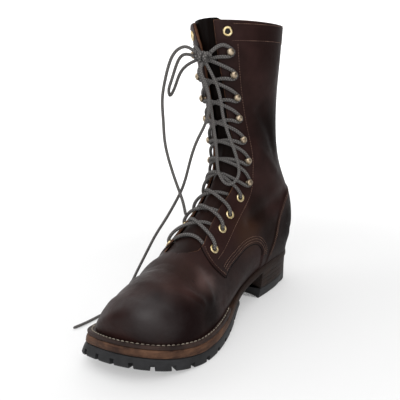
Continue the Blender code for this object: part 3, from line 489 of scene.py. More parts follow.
# %% Feather line and seat height
# Rows: forward, side.
FEATHER = [
    (-2, 0), (4, 19.5), (20, 31), (50, 35), (90, 32), (130, 29.5), (165, 36), (200, 46), (230, 48.5),
    (250, 43), (265, 35), (277, 22), (284, 8), (286, -6), (283, -21), (275, -37.5), (262, -50), (242, -57),
    (214, -58.5), (176, -55), (130, -45.5), (90, -39), (50, -36), (20, -31), (4, -19.5)]
OUTLINE_POINTS = 1440
SEAT_BALL, TOE_SPRING, SPRING_FROM, SPRING_TO, SPRING_POWER = 21.3, 22.0, 230.0, 306.0, 1.7
HEEL_PITCH, PITCH_FROM, PITCH_TO = 24.7, 188.0, 55.0
MARGIN_HEEL, MARGIN_FORE, MARGIN_FROM, MARGIN_TO = 1.8, 5.5, 110.0, 175.0
MARGIN_OUTER, OUTER_SIDE, CORNER_FROM, CORNER_TO = 3.5, -40.0, 205.0, 255.0
TREAD_FLARE, TREAD_LEAN = 2.5, 3.5
CORNER_FACING, CORNER_SPREAD, MARGIN_CORNER, TREAD_CORNER = -0.66, 0.22, 1.5, 3.0
SIDES = (1, -1)


def feather_outline():
    """Closed plan of the feather line: a spline through its table, lapped so that it closes smoothly."""
    table = np.array(FEATHER, float)
    lap = 4
    ring = np.vstack([table[-lap:], table, table[:lap + 1]])
    d = run_length(ring)
    return spline(d, ring, np.linspace(d[lap], d[lap + len(table)], OUTLINE_POINTS, endpoint=False))


def plan_normals(plan):
    """Outward normals of a closed plan: its tangents turned by a quarter turn."""
    t = np.roll(plan, -1, axis=0) - np.roll(plan, 1, axis=0)
    n = np.stack([t[:, 1], -t[:, 0]], axis=1)
    n /= np.linalg.norm(n, axis=1)[:, None]
    return n * np.sign(n[np.argmax(plan[:, 0]), 0])


def half_plan(plan, forward, side):
    """Side coordinate of a closed plan's inner or outer edge at forward stations."""
    ring = np.roll(plan, -int(np.argmin(plan[:, 0])), axis=0)
    toe = int(np.argmax(ring[:, 0]))
    edge = ring[:toe + 1] if side > 0 else np.vstack([ring[toe:], ring[:1]])[::-1]
    return np.interp(forward, np.maximum.accumulate(edge[:, 0]), edge[:, 1])


def seat_up(forward):
    """Height of the seat: level under the ball, up at the toe by a power and to the heel by a smooth step."""
    spring = np.clip((np.asarray(forward, float) - SPRING_FROM) / (SPRING_TO - SPRING_FROM), 0.0, 1.0)
    pitch = HEEL_PITCH * ease(-PITCH_FROM, -PITCH_TO, -forward)
    return SEAT_BALL + TOE_SPRING * spring ** SPRING_POWER + pitch


def corner_turn(plan):
    """Bell curve of the way the edge faces, 1 where the toe's outer corner turns."""
    facing = (plan_normals(plan)[:, 1] - CORNER_FACING) / CORNER_SPREAD
    return np.exp(-facing ** 2) * ease(CORNER_FROM, CORNER_TO, plan[:, 0])


def margin(plan):
    """Reach of the sole's edge beyond the feather line: a base, and more round the toe's outer corner."""
    corner = ease(0.0, OUTER_SIDE, plan[:, 1]) * ease(CORNER_FROM, CORNER_TO, plan[:, 0])
    fore = MARGIN_FORE + MARGIN_OUTER * corner + MARGIN_CORNER * corner_turn(plan)
    return MARGIN_HEEL + (fore - MARGIN_HEEL) * ease(MARGIN_FROM, MARGIN_TO, plan[:, 0])


def tread_margin(plan):
    """Reach of the tread: drawn in where the edge faces inward, flared out round the toe's outer corner."""
    flare = TREAD_FLARE - TREAD_LEAN * plan_normals(plan)[:, 1] + TREAD_CORNER * corner_turn(plan)
    flare = np.minimum(flare, 0.0) + np.maximum(flare, 0.0) * ease(CORNER_FROM, CORNER_TO, plan[:, 0])
    return margin(plan) + flare * ease(MARGIN_FROM, MARGIN_TO, plan[:, 0])


PLAN = feather_outline()
PLAN_OUT = plan_normals(PLAN)
PLAN_MARGIN = margin(PLAN)
PLAN_TREAD = tread_margin(PLAN)
PLAN_CORNER = corner_turn(PLAN)
print("feather line", round(run_length(PLAN)[-1]), "mm round")

# %% [markdown]
# ## Surface of the upper
# The upper is a fan of sections over the last: each starts at the feather line, or on the back seam, and
# runs over the ridge of the foot to the other side. Every section is a rounded arch from one row of a
# table. The rows are joined by splines into one smooth sheet, which is then read at any row and at any
# distance from the ridge.

# %% Sections of the upper
# Rows: foot forward, foot up, top forward, top up, middle, medial, lateral, widest, crown medial,
# crown lateral, ridge.
ON_FEATHER = -1
SECTIONS = [
    (286, ON_FEATHER, 286, 39, -7, -6.9, -7.1, 0.30, 2.0, 2.0, 0),
    (281.5, ON_FEATHER, 288.5, 49, -6.5, 13.5, -27, 0.10, 2.0, 1.7, 1),
    (275, ON_FEATHER, 289.5, 55.5, -5.5, 25.5, -39, 0.08, 2.1, 1.6, 3),
    (267, ON_FEATHER, 288.5, 63.3, -4, 34, -47.5, 0.08, 2.1, 1.45, 5),
    (256.5, ON_FEATHER, 282.5, 71, -2, 41.5, -53.5, 0.09, 2.2, 1.48, 7),
    (242.5, ON_FEATHER, 269, 77.4, -1, 47.5, -57.7, 0.10, 2.2, 1.64, 7),
    (222, ON_FEATHER, 247, 81, 0, 50, -59.3, 0.12, 2.1, 1.7, 6),
    (196, ON_FEATHER, 216, 87.4, 0, 47, -58.8, 0.14, 2.0, 1.8, 4),
    (170, ON_FEATHER, 187, 96.8, 0, 41, -55, 0.17, 1.9, 1.82, 2),
    (140, ON_FEATHER, 163, 112, 0, 37.5, -48, 0.20, 1.8, 1.78, 0),
    (100, ON_FEATHER, 143, 126, 0, 36.5, -41.5, 0.24, 1.8, 1.75, 0),
    (55, ON_FEATHER, 129, 141, 0, 38.5, -38.5, 0.26, 1.8, 1.8, 1),
    (22, ON_FEATHER, 121, 154, 0, 39.8, -37.2, 0.27, 1.8, 1.8, 1.8),
    (6, ON_FEATHER, 117, 162, 0, 40.5, -36.6, 0.27, 1.8, 1.8, 2.3),
    (-2, 46, 115, 168, 0, 40.9, -36.3, 0.27, 1.8, 1.8, 2.6),
    (-6.5, 57, 112.5, 177, 0, 41.5, -35.6, 0.28, 1.8, 1.8, 3),
    (-10.5, 74, 110.5, 187, 0, 41.6, -34.9, 0.31, 1.8, 1.8, 3),
    (-11.5, 97, 109, 201, 0, 39, -34.2, 0.36, 1.8, 1.8, 3),
    (-3.5, 130, 109, 219, 0, 34.5, -33.8, 0.43, 1.8, 1.8, 2),
    (5.5, 170, 110, 242, 0, 33.5, -35.5, 0.42, 1.8, 1.8, 1),
    (7.5, 220, 113, 269, 0, 37, -39.5, 0.41, 1.8, 1.8, 0),
    (4, 265, 116, 292, 0, 42, -45, 0.40, 1.8, 1.8, 0),
    (0, 303, 118, 310, 0, 45.5, -49, 0.40, 1.8, 1.8, 0)]
SEAM_ROW = 14
LAST_ROW = len(SECTIONS) - 1
LINE_POINTS = 121
SOFTENING = 12
FOOT_REACH = 0.985
ROW_STEP = 0.025


def section_lines(rows):
    """Sections at many rows: arches |x|^n + |y|^n = 1 from the foot over the ridge, evened and softened."""
    table = spline(np.arange(len(SECTIONS)), SECTIONS, rows)
    (foot_f, foot_z, top_f, top_z, middle, medial, lateral, widest, crown_m, crown_l,
     ridge) = table.T[:, :, None]
    on_foot = np.asarray(rows)[:, None] < SEAM_ROW
    foot_z = np.where(on_foot, seat_up(foot_f), foot_z)
    halves = []
    for side, edge, crown in ((1, medial, crown_m), (-1, lateral, crown_l)):
        width = side * (edge - middle)
        foot = np.where(on_foot, np.maximum(side * (half_plan(PLAN, foot_f, side) - middle), 0.0), 0.0)
        share = np.minimum(foot / width, FOOT_REACH)
        low = widest / (1.0 - share ** crown) ** (1.0 / crown)
        start = np.arcsin(share ** (crown / 2.0))
        bend = start + (math.pi - start) * np.linspace(0.0, 1.0, LINE_POINTS)
        run = np.sign(np.cos(bend)) * np.abs(np.cos(bend)) ** (2.0 / crown)
        rise = widest - np.where(run > 0, low, 1.0 - widest) * run
        across = middle + side * width * np.abs(np.sin(bend)) ** (2.0 / crown)
        across = across + ridge * np.clip((rise - widest) / (1.0 - widest), 0.0, 1.0)
        halves.append(np.stack([across, foot_f + (top_f - foot_f) * rise,
                                foot_z + (top_z - foot_z) * rise], -1))
    raw = np.concatenate([halves[0], halves[1][:, -2::-1]], axis=1)
    lengths = [run_length(line) for line in raw]
    ridge_share = np.array([d[LINE_POINTS - 1] / d[-1] for d in lengths])
    lines = np.array([along(line, np.linspace(0.0, d[-1], LINE_POINTS)) for line, d in zip(raw, lengths)])
    for _ in range(SOFTENING):
        lines[:, 1:-1] = 0.25 * lines[:, :-2] + 0.5 * lines[:, 1:-1] + 0.25 * lines[:, 2:]
    total = np.linalg.norm(np.diff(lines, axis=1), axis=2).sum(axis=1)
    return lines, ridge_share * total, total


ROWS = np.arange(0.0, LAST_ROW + ROW_STEP / 2.0, ROW_STEP)
LINES, RIDGES, LENGTHS = section_lines(ROWS)
LINES[0] = LINES[0, 0]
LINE_OUT = np.cross(np.gradient(LINES, axis=1), np.gradient(LINES, axis=0))
above_seam = ROWS >= SEAM_ROW
LINE_OUT[above_seam, 0] += LINE_OUT[above_seam, -1]
LINE_OUT[above_seam, -1] = LINE_OUT[above_seam, 0]
LINE_OUT[~above_seam, 0, 2] = 0.0
LINE_OUT[~above_seam, -1, 2] = 0.0
LINE_OUT[0] = (0.0, 1.0, 0.0)
LINE_OUT /= np.linalg.norm(LINE_OUT, axis=2)[:, :, None]


def read_grid(grid, rows, from_ridge):
    """Values of the sheet at rows and distances from the ridge, inner side positive, read bilinearly."""
    r = np.clip(np.asarray(rows, float) / ROW_STEP, 0.0, len(ROWS) - 1.001)
    i = r.astype(int)
    out = 0.0
    for k, weight in ((i, 1.0 - (r - i)), (i + 1, r - i)):
        spot = np.clip((RIDGES[k] - from_ridge) / LENGTHS[k] * (LINE_POINTS - 1), 0.0, LINE_POINTS - 1.001)
        j = spot.astype(int)
        t = (spot - j)[..., None]
        out = out + weight[..., None] * ((1.0 - t) * grid[k, j] + t * grid[k, j + 1])
    return out


def base_skin(rows, from_ridge):
    """Points and outward normals of the last's surface."""
    rows, from_ridge = np.broadcast_arrays(np.asarray(rows, float), np.asarray(from_ridge, float))
    normal = read_grid(LINE_OUT, rows, from_ridge)
    return read_grid(LINES, rows, from_ridge), normal / np.linalg.norm(normal, axis=-1)[..., None]


def half_length(rows, side):
    """Distance from the ridge to the foot of the sections on one side."""
    medial = np.interp(rows, ROWS, RIDGES)
    return medial if side > 0 else np.interp(rows, ROWS, LENGTHS) - medial


print("skin rows", len(ROWS))

# %% [markdown]
# ## Panels, creases and relief
# A blucher boot's quarters lap over the vamp, a counter is sewn round the heel and a band round the
# collar. Each stands one thickness of leather proud, so it is drawn as a step in the height over the
# last, from the distance to the panel's edge in side view. Creases are drawn the same way, as soft
# troughs and ridges along listed lines: over the vamp where the toes bend, round the ankle and up
# the shaft.

# %% Outlines of the panels and lines of the creases
BEYOND = 400.0
# Outlines in side view: forward, up.
QUARTER_LOW = smooth_path([(166, 60), (158, 64.5), (149, 68), (134, 72.5), (120, 77), (109, 78), (98, 76),
                           (91, 70.5), (87, 63), (88, 56)], 3.0)
QUARTER = [(176, BEYOND), (175.5, 96), (179.5, 87), (179.5, 78), (174, 69), *map(tuple, QUARTER_LOW),
           (90, -BEYOND), (-BEYOND, -BEYOND), (-BEYOND, BEYOND)]
COUNTER_EDGE = smooth_path([(-40, 133), (0, 131), (20, 127), (35, 118), (48, 104), (57, 85), (66, 67),
                            (74, 54), (78, 40)], 4.0)
COUNTER = [*map(tuple, COUNTER_EDGE), (80, -BEYOND), (-BEYOND, -BEYOND), (-BEYOND, 133)]
COLLAR_BAND = [(-BEYOND, 288), (33, 288.5), (78, 288), (110, 291), (BEYOND, 296), (BEYOND, BEYOND),
               (-BEYOND, BEYOND)]
PANELS = ((QUARTER, 1.2), (COUNTER, 0.9), (COLLAR_BAND, 0.35))
STEP_RAMP = 1.0
CREASE_STEP = 6.0
# Rows: depth, less than 0 for a ridge, width, line of forward and up.
CREASES = [
    (1.9, 14.0, [(217, 88), (220, 84), (218, 77), (217, 70)]),
    (-1.3, 11.0, [(202, 80), (203, 72), (203, 64), (203, 54)]),
    (-1.2, 11.0, [(249, 80), (242, 77), (232, 71), (221, 57)]),
    (0.9, 5.0, [(241, 74), (232, 66), (222, 54)]),
    (1.2, 12.0, [(270, 77), (263, 75), (259, 70), (254, 62)]),
    (1.0, 12.0, [(262, 56), (240, 50), (214, 45), (184, 40)]),
    (2.0, 15.0, [(40, 122), (65, 114), (86, 110), (106, 104)]),
    (-0.9, 14.0, [(46, 103), (63, 97), (90, 91)]),
    (1.4, 13.0, [(72, 220), (56, 195), (48, 174)]),
    (-1.0, 12.0, [(80, 182), (65, 168), (51, 151)]),
    (0.8, 12.0, [(96, 160), (80, 147), (66, 134)])]


def inside_distance(polygon, forward, up):
    """Signed distance into a side-view outline, positive inside: nearest edge, with the sign by crossings."""
    ring = np.array(polygon, float)
    best = np.full(np.shape(forward), np.inf)
    crossings = np.zeros(np.shape(forward), int)
    for (f0, z0), (f1, z1) in zip(ring, np.roll(ring, -1, axis=0)):
        best = np.minimum(best, segment_distance(f0, z0, f1, z1, forward, up))
        spans = (z0 > up) != (z1 > up)
        with np.errstate(divide="ignore", invalid="ignore"):
            level_at = f0 + (up - z0) * (f1 - f0) / (z1 - z0)
        crossings += spans & (forward < level_at)
    return np.where(crossings % 2 == 1, best, -best)


def segment_distance(f0, z0, f1, z1, forward, up):
    """Distance to a straight stretch in side view."""
    length = max((f1 - f0) ** 2 + (z1 - z0) ** 2, 1e-9)
    reach = np.clip(((forward - f0) * (f1 - f0) + (up - z0) * (z1 - z0)) / length, 0.0, 1.0)
    return np.hypot(forward - f0 - reach * (f1 - f0), up - z0 - reach * (z1 - z0))


def crease_depth(forward, up):
    """Soft troughs: depth times a bell curve of the distance to each crease's smooth line."""
    total = np.zeros(np.shape(forward))
    for depth, width, line in CREASES:
        path = smooth_path(line, CREASE_STEP)
        away = np.full(np.shape(forward), np.inf)
        for start, end in zip(path[:-1], path[1:]):
            away = np.minimum(away, segment_distance(*start, *end, forward, up))
        total -= depth * np.exp(-(away / width * 2.0) ** 2)
    return total


def relief(points):
    """Height of the leather's outside over the last: panel steps and creases."""
    forward, up = points[..., 1], points[..., 2]
    height = crease_depth(forward, up)
    for outline, step in PANELS:
        height += step * ease(-STEP_RAMP / 2.0, STEP_RAMP / 2.0, inside_distance(outline, forward, up))
    return height


# %% [markdown]
# ## The upper
# The leather shell is one closed skin: an outer sheet with the relief, an inner sheet one wall deeper,
# and a rim along the foot, the throat and the collar. The throat's half width comes from a short table.
# The inner sheet has half the columns of the outer, because it lies in shade.

# %% Upper as one hollow skin
WALL = 1.5
# Rows: row, medial gap, lateral gap.
THROAT = np.array([(7.6, 0, 0), (7.8, 10, 25), (8.1, 17, 29), (8.5, 19, 27), (9.6, 16, 20), (10.3, 16, 19),
                   (11.5, 21, 22), (13.5, 26, 26), (15.8, 21, 21), (17.1, 14, 14), (18.2, 11, 11),
                   (19.1, 11, 11), (20.2, 9.5, 10), (20.8, 9, 12.5), (22, 9, 21)], float)
APEX_ROW = THROAT[0, 0]
UPPER_ROW_COUNT = 330
UPPER_COLUMNS = 88
EDGE_ROUND = 0.5


def throat_gap(rows, side):
    """Width of the throat on one side, along the leather from the ridge to the facing's edge."""
    return np.interp(rows, THROAT[:, 0], THROAT[:, 1 if side > 0 else 2])


def even_rows(count):
    """Rows spread so that the wider of the gaps at both ends stays even, seam and apex among them."""
    gaps = np.maximum(np.linalg.norm(np.diff(LINES[:, 0], axis=0), axis=1),
                      np.linalg.norm(np.diff(LINES[:, LINE_POINTS // 2], axis=0), axis=1))
    spread = np.interp(np.linspace(0.0, gaps.sum(), count), np.r_[0.0, np.cumsum(gaps)], ROWS)
    for row in (SEAM_ROW, APEX_ROW):
        spread[np.argmin(np.abs(spread - row))] = row
    return spread


def upper_skin():
    """Outer and inner grids of both halves, foot to facing, with the rims that close them."""
    rows = even_rows(UPPER_ROW_COUNT)
    count = len(rows)
    seam = int(np.flatnonzero(rows == SEAM_ROW)[0])
    apex = int(np.flatnonzero(rows == APEX_ROW)[0])
    columns, lining = UPPER_COLUMNS + 1, UPPER_COLUMNS // 2 + 1
    share = np.linspace(0.0, 1.0, columns)[None, :]
    points, faces, edges, first = [], [], [], 0
    for side in SIDES:
        foot, facing = half_length(rows, side)[:, None], throat_gap(rows, side)[:, None]
        spot, out = base_skin(rows[:, None], side * (foot + (facing - foot) * share))
        height = relief(spot)
        height[apex:, -1] -= EDGE_ROUND
        height[-1] -= EDGE_ROUND
        outer = spot + out * height[..., None]
        inner = (spot - out * WALL)[:, ::2]
        points += [outer.reshape(-1, 3), inner.reshape(-1, 3)]
        edges.append((outer[apex:, -1], inner[apex:, -1], outer[apex:, -1] - outer[apex:, -2]))
        edges.append((outer[-1, ::2], inner[-1], outer[-1, ::2] - outer[-2, ::2]))
        faces += grid_faces(count, columns, first).tolist()
        second = first + count * columns
        faces += grid_faces(count, lining, second).tolist()
        i = np.arange(count)
        faces += strip_faces(first + i[:seam + 1] * columns, second + i[:seam + 1] * lining).tolist()
        faces += strip_faces(first + i[apex:] * columns + columns - 1,
                             second + i[apex:] * lining + lining - 1).tolist()
        top, low = first + (count - 1) * columns, second + (count - 1) * lining
        j = np.arange(lining - 1)
        strip = [top + 2 * j, top + 2 * j + 1, top + 2 * j + 2, low + j + 1, low + j]
        faces += np.stack(strip, axis=1).tolist()
        first = second + count * lining
    return np.vstack(points), faces, edges


upper_points, upper_faces, cut_edges = upper_skin()
make_piece("boot_upper", upper_points, upper_faces, upper_leather, "upper_leather", ("upper",))

# %% [markdown]
# ## Cut edges
# Where thick leather is cut, its paler brown core shows along the facings and round the top. A thin bar
# is laid over the rim from the outer face to the inner one; it has the colour of the core and rounds the
# edge off.

# %% Brown core along the facings and the top
EDGE_THICK = 0.35


def edge_bar(outer, inner, ahead):
    """Thin bar over a rim: four lines, on and just under the rim at the outer and inner face, closed."""
    ahead = ahead / np.linalg.norm(ahead, axis=1)[:, None] * EDGE_THICK
    rings = np.stack([outer + ahead, inner + ahead, inner - ahead, outer - ahead], axis=1)
    faces = grid_faces(len(rings), 4, ring_columns=True).tolist()
    faces += [[0, 1, 2, 3], [4 * len(rings) - 4 + k for k in range(4)]]
    return rings, faces


make_piece("boot_cut_edges", *join([edge_bar(*edge) for edge in cut_edges]), edge_leather, "upper_leather")

# %% [markdown]
# ## Tongue
# The tongue is a soft sheet behind the throat. It is a grid on the same surface, sunk under the facings,
# with shallow folds along its length where the lace has pulled it together.

# %% Tongue sheet
TONGUE_THICK, TONGUE_GAP, TONGUE_LAP = 2.2, 1.2, 9.0
TONGUE_FROM, TONGUE_TO = 7.0, 21.9
TONGUE_ROWS, TONGUE_COLUMNS = 150, 48
FOLD_DEPTH, FOLD_COUNT = 0.5, 3.0
FOLD_FROM, FOLD_FULL, FOLD_TWIST = 7.8, 9.0, 0.9
TONGUE_RISE, RISE_FROM, RISE_LOW, RISE_FULL = 4.1, 21.0, 0.45, -0.6


def tongue_skin():
    """Outer sheet with folds cos(across) fading at its sides, and a plain inner one, joined at the rim."""
    rows = np.linspace(TONGUE_FROM, TONGUE_TO, TONGUE_ROWS)[:, None]
    share = np.linspace(-1.0, 1.0, TONGUE_COLUMNS)[None, :]
    gap = np.where(share < 0.0, throat_gap(rows, 1), throat_gap(rows, -1))
    spot, out = base_skin(rows, -share * (gap + TONGUE_LAP))
    fade = ease(FOLD_FROM, FOLD_FULL, rows) * (1.0 - np.abs(share) ** 2)
    rise = TONGUE_RISE * ease(RISE_FROM, TONGUE_TO, rows)
    rise = rise * (RISE_LOW + (1.0 - RISE_LOW) * ease(-1.0, RISE_FULL, share))
    spot = spot + rise[..., None] * np.array((0.0, 0.0, 1.0))
    folds = FOLD_DEPTH * fade * (np.cos(share * FOLD_COUNT * math.pi + rows * FOLD_TWIST) - 1.0)
    layers = [spot + out * (folds - WALL - TONGUE_GAP)[..., None],
              spot - out * (WALL + TONGUE_GAP + TONGUE_THICK)]
    count = TONGUE_ROWS * TONGUE_COLUMNS
    rim = np.r_[np.arange(TONGUE_COLUMNS), np.arange(2, TONGUE_ROWS + 1) * TONGUE_COLUMNS - 1,
                count - 2 - np.arange(TONGUE_COLUMNS - 1),
                np.arange(TONGUE_ROWS - 2, -1, -1) * TONGUE_COLUMNS]
    faces = [grid_faces(TONGUE_ROWS, TONGUE_COLUMNS), grid_faces(TONGUE_ROWS, TONGUE_COLUMNS, count),
             strip_faces(rim, rim + count)]
    return np.concatenate([layer.reshape(-1, 3) for layer in layers]), np.vstack(faces)


make_piece("boot_tongue", *tongue_skin(), tongue_leather, "tongue_leather", ("tongue",))
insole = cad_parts["insole"].data
insole.materials.clear()
insole.materials.append(insole_leather)

# %% [markdown]
# ## Layers of the sole
# Midsole, half sole and heel are slabs whose edge follows the grown feather line. Each is made from
# stations along the foot: an edge profile, the small table of how far each level stands out, is carried
# round the inner and outer edges, and the slab is closed across. Stations crowd together at rounded ends.

# %% Slabs from an edge profile
SEAT_GAP = 0.5
SEAM_GAP = 0.3
MIDSOLE_FORE, MIDSOLE_HEEL = 8.3, 8.0
SOLE_STATIONS = 170
MIDSOLE_FLARE = 2.4
# Rows of an edge: out, share of height.
MIDSOLE_EDGE = [(-1.2, 1.0), (-0.3, 0.96), (0.1, 0.86), (0.3, 0.6), (0.3, 0.4), (0.1, 0.12),
                (-0.4, 0.03), (-1.4, 0.0)]


def round_stations(low, high, steps, round_low, round_high):
    """Forward stations spaced by a cosine, closer together towards rounded ends."""
    first = math.pi if round_low else math.pi / 2.0
    last = 0.0 if round_high else math.pi / 2.0
    bend = np.cos(np.linspace(first, last, steps))
    return low + (high - low) * (bend - bend[0]) / (bend[-1] - bend[0])


def grown_end(grow, at_toe):
    """Farthest reach of the grown plan at the toe or the heel."""
    reach = (PLAN + PLAN_OUT * np.reshape(grow, (-1, 1)))[:, 0]
    return reach.max() if at_toe else reach.min()


def closed_rings(rings):
    """Skin of stacked rings, closed across the first and the last between opposite points."""
    count = len(rings[0])
    half = np.arange(count // 2)
    faces = [grid_faces(len(rings), count, ring_columns=True)]
    for first in (0, (len(rings) - 1) * count):
        faces.append(strip_faces(first + half, first + count - 1 - half))
    return np.vstack(rings), np.vstack(faces)


def slab(top_up, low_up, edge, spans):
    """Slab between two height functions: levels of the edge profile, each a ring of stations."""
    rings = []
    for grow, share, stations in spans(edge):
        plan = PLAN + PLAN_OUT * np.reshape(grow, (-1, 1))
        held = np.clip(stations, plan[:, 0].min(), plan[:, 0].max())
        up = low_up(held) + share * (top_up(held) - low_up(held))
        inner, outer = (np.stack([half_plan(plan, held, side), held, up], 1) for side in SIDES)
        rings.append(np.vstack([inner, outer[::-1]]))
    return closed_rings(rings)


def midsole_up(forward):
    """Top of the midsole, just under the seat."""
    return seat_up(forward) - SEAT_GAP


def midsole_low(forward):
    """Underside of the midsole: thinner at the heel."""
    more = (MIDSOLE_FORE - MIDSOLE_HEEL) * ease(MARGIN_FROM, MARGIN_TO, forward)
    return midsole_up(forward) - MIDSOLE_HEEL - more


def whole_foot(edge):
    """Levels that run the whole length of the foot."""
    for out, share in edge:
        grow = PLAN_MARGIN + MIDSOLE_FLARE * (1.0 - share) * PLAN_CORNER + out
        ends = grown_end(grow, False), grown_end(grow, True)
        yield grow, share, round_stations(*ends, SOLE_STATIONS, True, True)


midsole = slab(midsole_up, midsole_low, MIDSOLE_EDGE, whole_foot)
make_piece("boot_midsole", *midsole, sole_leather, "sole_leather", ("midsole",))

# %% [markdown]
# ## Lugged half sole
# The rubber half sole starts at the waist and is cut by notches round its edge and grooves across its
# middle. The notches have straight sides, which a smooth grid would blur, so a Boolean cuts them with
# plain bars.

# %% Half sole and its lugs
OUTSOLE_FROM, OUTSOLE_TAPER, OUTSOLE_END_THICK = 136.0, 30.0, 3.0
OUTSOLE_EDGE = [(-1.0, 1.0), (-0.2, 0.95), (0.2, 0.8), (0.3, 0.45), (0.1, 0.12), (-0.8, 0.0)]
LUG_PITCH, LUG_NOTCH, LUG_DEPTH, LUG_REACH, LUG_OUT, LUG_FROM = 19.0, 4.4, 5.6, 13.0, 6.0, 150.0
LUG_BAR = 30.0
GROOVES = (172.0, 193.0, 214.0, 235.0, 256.0)
GROOVE_INSET = 20.0
FULL_THICK = float(midsole_low(PITCH_FROM)) - SEAM_GAP


def outsole_up(forward):
    """Top of the half sole, under the midsole."""
    return midsole_low(forward) - SEAM_GAP


def tread_up(forward):
    """Underside of the half sole: full thickness, thinned smoothly at the waist."""
    part = ease(OUTSOLE_FROM - OUTSOLE_TAPER / 2.0, OUTSOLE_FROM + OUTSOLE_TAPER, forward)
    return outsole_up(forward) - OUTSOLE_END_THICK - (FULL_THICK - OUTSOLE_END_THICK) * part


def forefoot(edge):
    """Levels from the waist to the toe, from the midsole's reach at the top to the tread's at the bottom."""
    for out, share in edge:
        grow = PLAN_TREAD + (PLAN_MARGIN + MIDSOLE_FLARE * PLAN_CORNER - PLAN_TREAD) * share + out
        yield grow, share, round_stations(OUTSOLE_FROM, grown_end(grow, True), SOLE_STATIONS, False, True)


def bars(spots, turns, sizes):
    """Box meshes at spots, turned about the upright and sized, as one array of corners and faces."""
    corner = np.array([(x, y, z) for x in (-0.5, 0.5) for y in (-0.5, 0.5) for z in (-0.5, 0.5)])
    box = corner[None] * np.asarray(sizes)[:, None]
    cos, sin = np.cos(turns)[:, None], np.sin(turns)[:, None]
    turned = np.stack([box[..., 0] * cos - box[..., 1] * sin,
                       box[..., 0] * sin + box[..., 1] * cos, box[..., 2]], -1)
    quads = np.array([(0, 1, 3, 2), (4, 6, 7, 5), (0, 4, 5, 1), (2, 3, 7, 6), (0, 2, 6, 4), (1, 5, 7, 3)])
    faces = quads[None] + 8 * np.arange(len(spots))[:, None, None]
    return (turned + np.asarray(spots)[:, None]).reshape(-1, 3), faces.reshape(-1, 4)


def lug_bars():
    """Bars at even distances round the sole's edge, square to it, and bars across its middle."""
    edge = PLAN + PLAN_OUT * PLAN_TREAD[:, None]
    normals = plan_normals(edge)
    distance = run_length(edge)
    picks = np.searchsorted(distance, np.arange(LUG_PITCH / 2.0, distance[-1], LUG_PITCH))
    picks = picks[edge[picks, 0] >= LUG_FROM]
    middle = edge[picks] + normals[picks] * (LUG_OUT - LUG_REACH) / 2.0
    sunk = LUG_DEPTH - LUG_BAR / 2.0
    spots = [np.column_stack([middle[:, 1], middle[:, 0], tread_up(edge[picks, 0]) + sunk])]
    turns = [np.arctan2(normals[picks, 0], normals[picks, 1])]
    sizes = [np.tile((LUG_REACH + LUG_OUT, LUG_NOTCH, LUG_BAR), (len(picks), 1))]
    across = np.array(GROOVES)
    inner, outer = (half_plan(edge, across, side) - side * GROOVE_INSET for side in SIDES)
    spots.append(np.column_stack([(inner + outer) / 2.0, across, tread_up(across) + sunk]))
    turns.append(np.zeros(len(across)))
    sizes.append(np.column_stack([inner - outer, np.full((len(across), 1), LUG_NOTCH),
                                  np.full((len(across), 1), LUG_BAR)]))
    return bars(np.vstack(spots), np.concatenate(turns), np.vstack(sizes))


outsole_skin = slab(outsole_up, tread_up, OUTSOLE_EDGE, forefoot)
outsole = make_piece("boot_outsole", *outsole_skin, rubber, "sole_rubber", ("outsole",), smooth=False)
cutter_mesh = bpy.data.meshes.new("lug bars")
bar_points, bar_faces = lug_bars()
cutter_mesh.from_pydata(place(bar_points), [], bar_faces.tolist())
clean(cutter_mesh)
cutter = bpy.data.objects.new("lug bars", cutter_mesh)
bpy.context.scene.collection.objects.link(cutter)
cut = outsole.modifiers.new("lugs", "BOOLEAN")
cut.operation = "DIFFERENCE"
cut.solver = "EXACT"
cut.object = cutter
lugged = bpy.data.meshes.new_from_object(outsole.evaluated_get(bpy.context.evaluated_depsgraph_get()))
outsole.modifiers.remove(cut)
outsole.data = lugged
bpy.data.objects.remove(cutter)
print("lugged half sole", len(lugged.polygons), "faces")

# %% [markdown]
# ## Heel
# The heel is a stack of leather lifts on a rubber lift. Its sides draw in towards the ground and its
# front, the breast, is hollow. The lifts show as fine lines round the stack, so its edge profile has a
# shallow groove at each joint. Each level is a ring: inner edge, breast and outer edge.

# %% Heel stack and rubber lift
HEEL_FRONT, LIFT_THICK, HEEL_BACK_FLARE = 81.0, 13.0, -1.0
HEEL_TAPER_FROM, HEEL_TAPER_TO = 0.0, 28.0
STACK_TAPERS, LIFT_TAPERS = (0.0, -4.5), (-4.5, -8.0)
BREAST_HOLLOW = 9.0
HEEL_STATIONS, BREAST_STATIONS = 70, 24
LIFT_JOINTS = (0.26, 0.5, 0.74)
GROOVE_DEPTH, GROOVE_HALF = 0.45, 0.03


def heel_ring(top, low, tapers, out, share):
    """One level of the heel: the grown plan up to the front, and a parabola hollowed across the breast."""
    taper = tapers[1] + (tapers[0] - tapers[1]) * share
    grow = PLAN_MARGIN + HEEL_BACK_FLARE + taper * ease(HEEL_TAPER_FROM, HEEL_TAPER_TO, PLAN[:, 0]) + out
    plan = PLAN + PLAN_OUT * grow[:, None]
    stations = round_stations(plan[:, 0].min(), HEEL_FRONT + out, HEEL_STATIONS, True, False)
    inner, outer = (np.column_stack([half_plan(plan, stations, side), stations]) for side in SIDES)
    part = np.linspace(0.0, 1.0, BREAST_STATIONS + 2)[1:-1, None]
    breast = inner[-1] * (1.0 - part) + outer[-1] * part
    breast[:, 1:] -= BREAST_HOLLOW * 4.0 * part * (1.0 - part)
    ring = np.vstack([inner, breast, outer[::-1]])
    return np.column_stack([ring, low(ring[:, 1]) + share * (top(ring[:, 1]) - low(ring[:, 1]))])


def heel_layer(top, low, tapers, edge):
    """Heel layer: rings of an edge profile, closed across its top and bottom."""
    return closed_rings([heel_ring(top, low, tapers, out, share) for out, share in edge])


